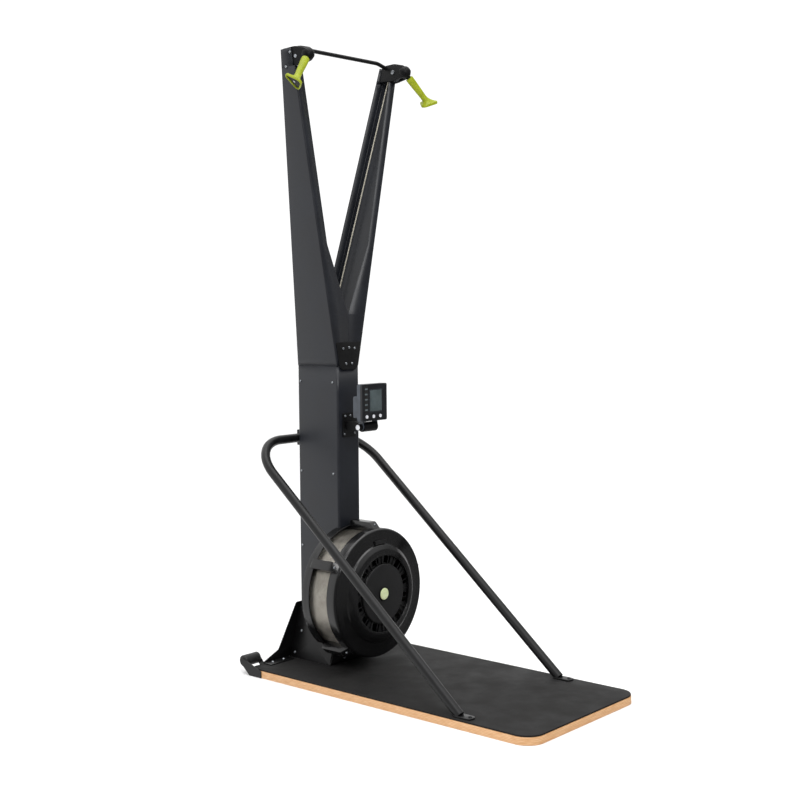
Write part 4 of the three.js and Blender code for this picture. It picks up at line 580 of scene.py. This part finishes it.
# Fan's rear shell
# A moulded dish behind the flywheel with a rim turned up both ways, screwed to the column through its middle pad.
# The rim's rear lip stops beside the column and above the base bracket.
hub = (0, 0, HUB_HEIGHT)


def bow(section, first, last, steps=24):
    """A grid for part of a ring about the fan's axis. A closed section of radius r and place y stands at each angle a
    between the two, in degrees from the ring's right towards its top, at (r cos a, y, r sin a), and closes at its
    middle on both ends. At an end it has 0.9 of its size, and all of it 0.8 mm further in, which rounds the rim."""
    section = np.asarray(section, float)
    middle = section.mean(0)
    edge = np.degrees(0.8 / section[:, 0].max())
    turn = np.radians(np.concatenate([[first, first], np.linspace(first + edge, last - edge, steps), [last, last]]))
    grown = np.ones(len(turn))
    grown[[0, -1]], grown[[1, -2]] = 0, 0.9
    r, y = (middle + (section - middle) * grown[:, None, None]).transpose(2, 0, 1)
    return np.stack([r * np.cos(turn)[:, None], y, HUB_HEIGHT + r * np.sin(turn)[:, None]], 2)


def hoop(points, radii, steps):
    """The outline of a section with its corners rounded, which ends on its first point again."""
    line = rounded(points, radii, steps, closed=True)
    return np.concatenate([line, line[:1]])


# Satin black plastic, moulded against a smooth tool: deep black, with clear soft highlights along its curves.
moulded = finish("satin_black_plastic", "#0a0a0b", "#0e0e0f", (0.17, 0.24), 45.0, 0.9, 0.015, Specular_IOR_Level=0.55)
rear = hoop([[22, -99.3], [70, -99.3], [70, -102.6], [228, -102.6], [228, -115.6], [225, -115.6], [225, -105.6],
             [22, -105.6]], [0.5, 1.5, 1, 0.5, 1, 1, 2, 0.5], 5)
lip = rounded([[225, -104], [225, -83], [228, -83], [228, -104]], [0.3, 1, 1, 0.3], 4, closed=True)
lips = [bow(lip, -47.6, 78, 60), bow(lip, 102, 227.6, 60)]
fit(surface("rear_dish", lathe(rear, hub, sides=144), *lips), moulded, "frame", "black_plastic", "fan_rear_shell")

# Perforated band
# A strip of stainless steel, punched all over with 3 mm holes and rolled into a ring, through which the fan blows.

# Punched stainless: bright brushed metal, dark where a hole is. The holes stand 5 mm apart in staggered rows.
punched = finish("punched_stainless", "#c8c2b7", "#e2dcd1", (0.3, 0.42), 25.0, 0.8, 0.02, Metallic=1.0)
tree = punched.node_tree
wound = node(tree, "ShaderNodeUVMap", uv_map="surface").outputs[0]
slant = {"Vector": wound, "Scale": (382.0, 283.0, 1.0), "Rotation": (0, 0, math.pi / 4)}
cells = {"Vector": node(tree, "ShaderNodeMapping", slant).outputs[0], "Scale": 1.0, "Randomness": 0.0}
spots = node(tree, "ShaderNodeTexVoronoi", cells, voronoi_dimensions="2D")
holes = node(tree, "ShaderNodeMapRange", {"Value": spots.outputs[0], "From Min": 0.36, "From Max": 0.42}).outputs[0]
shader = tree.nodes["Principled BSDF"]
metal = shader.inputs["Base Color"].links[0].from_socket
pierced = node(tree, "ShaderNodeMix", {0: holes, 6: linear("#14130f"), 7: metal}, data_type="RGBA")
tree.links.new(pierced.outputs[2], shader.inputs["Base Color"])
dent = node(tree, "ShaderNodeBump", {"Height": holes, "Distance": 0.0008})
tree.links.new(dent.outputs[0], shader.inputs["Normal"])
strip = [[213.5, -105.9], [215, -105.9], [215, -196.9], [213.5, -196.9], [213.5, -105.9]]
fit(surface("punched_band", lathe(strip, hub, sides=180)), punched, "frame", "perforated_steel", "perforated_band")

# Fan's front shell
# Moulded like the rear one, stepped down in two curved rings to the round air intake, with a groove behind its rim.
# Five lugs with steel screws clamp it to the rear shell. The slot near the top for the damper's lever is not cut.
SCREW_RADIUS = 237
front = hoop([[216, -192.9], [221.5, -192.9], [221.5, -203.6], [226, -204.4], [226, -229], [221.5, -237],
              [195, -237.9], [173, -240], [169.5, -246], [154.5, -256], [139, -257.9], [137.4, -251.9],
              [139, -245.9], [154, -252.4], [167.5, -243], [171.5, -236.9], [194, -234.9], [216, -234], [219, -226]],
             [1, 0.6, 1, 1, 10, 8, 14, 2, 5, 14, 1.5, 1, 1, 10, 4, 2, 10, 4, 6], 6)
lug_section = rounded([[215.4, -116], [248, -116], [248, -206], [226, -228], [215.4, -228]], [0.5, 4, 14, 6, 0.5], 5,
                      closed=True)
lugs, caps = [], []
for angle in (90, 15, -51, -129, -210):
    lugs.append(bow(lug_section, angle - 4, angle + 4, 10))
    turn = math.radians(angle)
    place = (SCREW_RADIUS * math.cos(turn), -217.2, HUB_HEIGHT + SCREW_RADIUS * math.sin(turn))
    caps += heads([place], -BACKWARD, 4.8)
front_dome = surface("front_dome", lathe(front, hub, sides=144), *lugs)
fit(front_dome, moulded, "frame", "black_plastic", "fan_front_shell")
fit(surface("fan_screws", *caps), zinc, "frame", "steel")

# Intake grille and damper
# Moulded ribs between a rim and a wide middle disc, and behind them the damper, a ring with windows that a lever in
# the shell's slot turns to open or close the intake.
ring = hoop([[133.7, -257.6], [138.7, -257.6], [138.7, -245.9], [133.7, -245.9]], 1.2, 4)
core = hoop([[13, -251.9], [104, -251.9], [104, -245.9], [13, -245.9]], 1.0, 4)
ribs = []
for angle in 2 * np.pi * np.arange(24) / 24:
    outward = np.array([math.cos(angle), 0, math.sin(angle)])
    axes = [outward, np.cross(outward, BACKWARD), BACKWARD]
    ribs.append(plate(corners(101, -1.5, 136, 1.5, 0.6, 2), -251.9, -245.9, 0.6, axes, hub, 2))
grille = surface("grille", lathe(ring, hub, sides=120), lathe(core, hub, sides=96), *ribs)
fit(grille, moulded, "frame", "black_plastic", "intake_grille")

# Dark grey ABS, moulded with a satin face whose grain of 0.9 mm breaks up the highlights.
grey_abs = finish("grey_abs", "#121213", "#181819", (0.42, 0.55), 35.0, 0.9, 0.03)
dress(grey_abs, "damper_ring")

# Hub cover and cap
# A plain disc with a turned edge over the grille's middle, and a pale cap with a dark rim at its centre.
disc = rounded([[0, -252.3], [104, -252.3], [104, -257.2], [0, -257.2]], 2.5, 6)
fit(surface("hub_disc", lathe(disc, hub, sides=120)), grey_abs, "frame", "grey_plastic", "hub_cover")

# Cream plastic, moulded and polished to a soft shine.
cream = finish("cream_abs", "#cfd6a2", "#dee4b8", (0.3, 0.42), 12.0, 0.8, 0.02, Subsurface_Weight=0.08)
button = [[0, -257.5], [20.5, -257.5], [20.5, -260.6], [19.2, -261.8], [14, -262.4], [0, -262.5]]
fit(surface("centre_cap", lathe(button, hub, sides=64)), cream, "frame", "pale_plastic", "hub_cap")
surround = hoop([[20.8, -257.5], [25, -257.5], [25, -260.6], [20.8, -260.6]], 1.2, 4)
fit(surface("cap_surround", lathe(surround, hub, sides=64)), nylon, "frame", "black_plastic")

# Flywheel and drive
# A cast steel fan wheel on its shaft, ball bearings in a folded bracket, two cord drums, and the pulley that the
# shock cord hangs over. They sit inside the shells and the column.

# Cast steel: a dull metallic grey, darker in its pits, with a grain of 1.4 mm left by the sand.
cast = finish("cast_steel", "#3a3c3f", "#55585c", (0.4, 0.6), 18.0, 1.4, 0.06, Metallic=0.9)
dress(cast, "flywheel")
dress(zinc, "flywheel_shaft", "front_bearing", "rear_bearing", "return_pulley_pin")
dress(black_coat, "drive_bracket")
dress(acetal, "right_cord_drum", "left_cord_drum", "return_pulley")

# Monitor's arm and knob
# A folded bracket on the column carries a moulded neck with a round head. A fluted black knob on its pin, with a
# white inlay pressed into its end, clamps the monitor's tilt.


def softened(name, source, edge, segments=3):
    """A copy of a CAD node, its triangles merged into whole faces and its sharp edges rounded off."""
    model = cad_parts[source].data
    shaped = bmesh.new()
    shaped.from_mesh(model)
    bmesh.ops.remove_doubles(shaped, verts=shaped.verts, dist=1e-5)
    bmesh.ops.dissolve_limit(shaped, angle_limit=math.radians(1), verts=shaped.verts, edges=shaped.edges)
    shaped.verts.index_update()
    mesh = bpy.data.meshes.new(name)
    points = [vertex.co.copy() for vertex in shaped.verts]
    mesh.from_pydata(points, [], [[vertex.index for vertex in face.verts] for face in shaped.faces])
    shaped.free()
    mesh.shade_smooth()
    mesh.set_sharp_from_angle(angle=math.radians(35))
    made = bpy.data.objects.new(name, mesh)
    bpy.context.scene.collection.objects.link(made)
    bevel = made.modifiers.new("edges", "BEVEL")
    bevel.width = edge / 1000
    bevel.segments = segments
    bevel.limit_method = "ANGLE"
    bevel.angle_limit = math.radians(35)
    bevel.harden_normals = True
    return made


bracket = plate(corners(-34, 828, 34, 914, 5), -COLUMN_FACE - SHEET, -COLUMN_FACE, 0.7, "xzy")
fit(surface("monitor_plate", bracket), black_coat, "frame", "black_paint", "monitor_bracket")
fit(softened("monitor_neck", "monitor_arm", 1.2), nylon, "frame", "black_plastic", "monitor_arm")
KNOB_Y, KNOB_Z = -191, 870
turn = np.linspace(0, 2 * np.pi, 96, endpoint=False)
flute = 1 - 0.07 * (0.5 + 0.5 * np.cos(8 * turn)) ** 2
knob_rows = np.array([[0, -53.2], [9.4, -53.2], [9.5, -53.9], [10.2, -53.9], [11, -52], [11, -43], [10.4, -42],
                      [10.4, -41.6], [11, -40.9], [11, -38.4], [10.4, -37.9], [0, -37.9]])
swing = np.where(knob_rows[:, 1, None] < -41.8, flute, 1.0) * knob_rows[:, :1]
x = np.broadcast_to(knob_rows[:, 1:], swing.shape)
knob = np.stack([x, KNOB_Y + swing * np.cos(turn), KNOB_Z + swing * np.sin(turn)], 2)
fit(surface("clamp_knob", knob), nylon, "knob", "black_plastic", "tilt_knob")

# White ABS, moulded: a cool white with a soft shine, a little greyed by handling.
white = finish("white_abs", "#c4c6cc", "#d8dade", (0.3, 0.42), 12.0, 0.8, 0.02)
inlay = [[0, 53.1], [9.3, 53.1], [9.3, 54], [8, 54.6], [0, 54.9]]
fit(surface("knob_inlay", lathe(inlay, (0, KNOB_Y, KNOB_Z), -SIDEWAYS, 48)), white, "knob", "pale_plastic")

# Monitor
# A moulded case in two halves, a clear window over a grey-green display, a column of membrane keys beside it and
# three round buttons below.

# Moulded ABS with a fine spark-eroded grain: the case is a bluish grey, and the frame round the window nearly black.
dark_abs = finish("dark_abs", "#3a3f46", "#444a52", (0.35, 0.5), 30.0, 0.8, 0.03)
bezel_abs = finish("bezel_abs", "#090b10", "#0f1218", (0.35, 0.5), 30.0, 0.8, 0.03)
fit(softened("monitor_shell", "monitor_case", 1.2), dark_abs, "monitor", "grey_plastic", "monitor_case")
fit(softened("monitor_frame", "monitor_bezel", 0.9), bezel_abs, "monitor", "black_plastic", "monitor_bezel")

# Display window: polished acrylic over a liquid-crystal panel, greenish grey inside a darker border.
display = finish("display_window", "#3a4445", "#454f51", (0.12, 0.2), 40.0, 1.0, 0.004, Coat_Weight=0.5,
                 Coat_Roughness=0.05)
tree = display.node_tree
place = node(tree, "ShaderNodeSeparateXYZ", {0: node(tree, "ShaderNodeTexCoord").outputs["Object"]})
WINDOW_MIDDLE, WINDOW_HALF = {0: 0.007, 2: 0.962}, {0: 0.0295, 2: 0.036}
reach = []
for axis, middle in WINDOW_MIDDLE.items():
    off = node(tree, "ShaderNodeMath", {0: place.outputs[axis], 1: middle}, operation="SUBTRACT").outputs[0]
    off = node(tree, "ShaderNodeMath", {0: off}, operation="ABSOLUTE").outputs[0]
    reach.append(node(tree, "ShaderNodeMath", {0: off, 1: WINDOW_HALF[axis]}, operation="DIVIDE").outputs[0])
far = node(tree, "ShaderNodeMath", {0: reach[0], 1: reach[1]}, operation="MAXIMUM").outputs[0]
border = node(tree, "ShaderNodeMapRange", {"Value": far, "From Min": 0.99, "From Max": 1.01}).outputs[0]
shader = tree.nodes["Principled BSDF"]
panel = shader.inputs["Base Color"].links[0].from_socket
framed = node(tree, "ShaderNodeMix", {0: border, 6: panel, 7: linear("#20262a")}, data_type="RGBA")
tree.links.new(framed.outputs[2], shader.inputs["Base Color"])
window = surface("display", plate(corners(-26, 922, 40, 1002, 1.5), -221.7, -219.7, 0.3, "xzy"))
fit(window, display, "monitor", "display_glass", "monitor_lens")

strip_plate = surface("key_panel", plate(corners(-53, 920, -33, 1014, 2), -222.3, -220, 0.3, "xzy"))
fit(strip_plate, grey_abs, "monitor", "grey_plastic", "key_strip")
keys = [plate(corners(-50, z - 2.6, -36, z + 2.6, 2), -222.9, -222.2, 0.3, "xzy") for z in (931, 949, 967, 985, 1003)]

# Embossed polyester film: a mid grey, dull, faintly grained.
key_grey = finish("membrane_keys", "#4b5458", "#5c666a", (0.45, 0.6), 9.0, 0.6, 0.02)
fit(surface("membrane_keys", *keys), key_grey, "monitor", "grey_plastic")
for number, x in enumerate((-40.5, -6, 28.5), 1):
    dome = rounded([[0, -216], [6, -216], [6, -224.4], [0, -225]], 1.2, 5)
    made = surface(f"round_button_{number}", lathe(dome, (x, 0, 907.5), sides=40))
    fit(made, white, f"button_{number}", "pale_plastic", f"menu_button_{number}")

# Brace
# One steel tube, bent twice, that runs from the board up to the column, behind it and down again. Flat feet are
# welded to its ends, and a saddle and a strap clamp it to the column.
TUBE_RADIUS = 16
crossing = np.array([120.6, 814.0])
legs = rounded([[-270, -806, 33.1], [-270, *crossing], [270, *crossing], [270, -806, 33.1]], 150, 24)
slant = np.cross(SIDEWAYS, [0, 926.6, 780.9])
toe = rounded([[252, -858], [288, -858], [288, -792], [252, -792]], [14, 14, 3, 3], 8, closed=True)
toe = plate(toe, MAT_TOP, MAT_TOP + FOOT_PLATE, 1.2)
pipe = surface("brace", tube(legs, TUBE_RADIUS, slant / np.linalg.norm(slant), 32), toe, toe * MIRROR)
fit(pipe, black_coat, "frame", "black_paint", "brace_tube")
fit(softened("tube_saddle", "brace_saddle", 1.5), black_coat, "frame", "black_paint", "brace_saddle")
fit(softened("tube_strap", "brace_strap", 1.5), black_coat, "frame", "black_paint", "brace_strap")

# Transport rollers
# Hard rubber rollers on short axles, each in a folded bracket round a back corner of the board.

# Hard rubber, turned after moulding: charcoal with a faint sheen and marks of about 0.9 mm.
tread = finish("roller_rubber", "#1b1b1c", "#2a2a2b", (0.45, 0.65), 12.0, 0.9, 0.06)
tyre = hoop([[4.3, -34], [20, -34], [20, 34], [4.3, 34]], [0.5, 3, 3, 0.5], 5)
for side, way in (("right", 1.0), ("left", -1.0)):
    cheeks = softened(side + "_roller_cheeks", side + "_roller_bracket", 0.8, 2)
    fit(cheeks, black_coat, "frame", "black_paint", side + "_roller_bracket")
    wheel = surface(side + "_transport_roller", lathe(tyre, (way * 265.7, 141, 45), SIDEWAYS, 48))
    fit(wheel, tread, side + "_wheel", "rubber_wheel", side + "_roller")

# Floor and light
# A wide pale floor under a white sky, and two soft lights above. The sky grows dim in front of the machine, and
# nothing mirrors the floor, so that dark faces keep their depth. Colours are shown as they are, with no film curve.

# Matt floor paint: an even, shadow-catching near white with slow cloudy patches.
floor_mesh = bpy.data.meshes.new("floor")
floor_mesh.from_pydata([(-40, -40, 0), (40, -40, 0), (40, 40, 0), (-40, 40, 0)], [], [(0, 1, 2, 3)])
floor = bpy.data.objects.new("floor", floor_mesh)
bpy.context.scene.collection.objects.link(floor)
floor_mesh.materials.append(finish("painted_floor", "#fbfbfb", "#fefefe", (0.85, 0.95), 900.0, 3.0, 0.02))
floor.visible_glossy = False

world = bpy.data.worlds.new("studio")
bpy.context.scene.world = world
world.use_nodes = True
sky = world.node_tree
facing = node(sky, "ShaderNodeSeparateXYZ", {0: node(sky, "ShaderNodeTexCoord").outputs["Generated"]}).outputs
behind = {"Value": facing[1], "From Min": -0.3, "From Max": 0.25, "To Min": 0.22, "To Max": 1.12}
behind = node(sky, "ShaderNodeMapRange", behind, interpolation_type="SMOOTHSTEP").outputs[0]
overhead = {"Value": facing[2], "From Min": 0.3, "From Max": 0.8, "To Min": 0.0, "To Max": 1.35}
overhead = node(sky, "ShaderNodeMapRange", overhead).outputs[0]
glow = node(sky, "ShaderNodeMath", {0: behind, 1: overhead}, operation="MAXIMUM")
sky.nodes["Background"].inputs["Color"].default_value = (1.0, 1.0, 1.0, 1.0)
sky.links.new(glow.outputs[0], sky.nodes["Background"].inputs["Strength"])
bpy.context.scene.view_settings.view_transform = "Standard"


def soft_light(name, place, towards, size, power):
    """A square area light at a place, turned towards a point, in metres and watts."""
    lamp = bpy.data.lights.new(name, "AREA")
    lamp.size, lamp.energy = size, power
    made = bpy.data.objects.new(name, lamp)
    made.location = place
    made.rotation_euler = (Vector(towards) - Vector(place)).to_track_quat("-Z", "Y").to_euler()
    bpy.context.scene.collection.objects.link(made)


soft_light("left_light", (-2.2, -4.0, 3.4), (0, 0, 1.1), 2.0, 90)
soft_light("top_light", (0.0, -0.5, 4.5), (0, -0.3, 0), 3.0, 60)
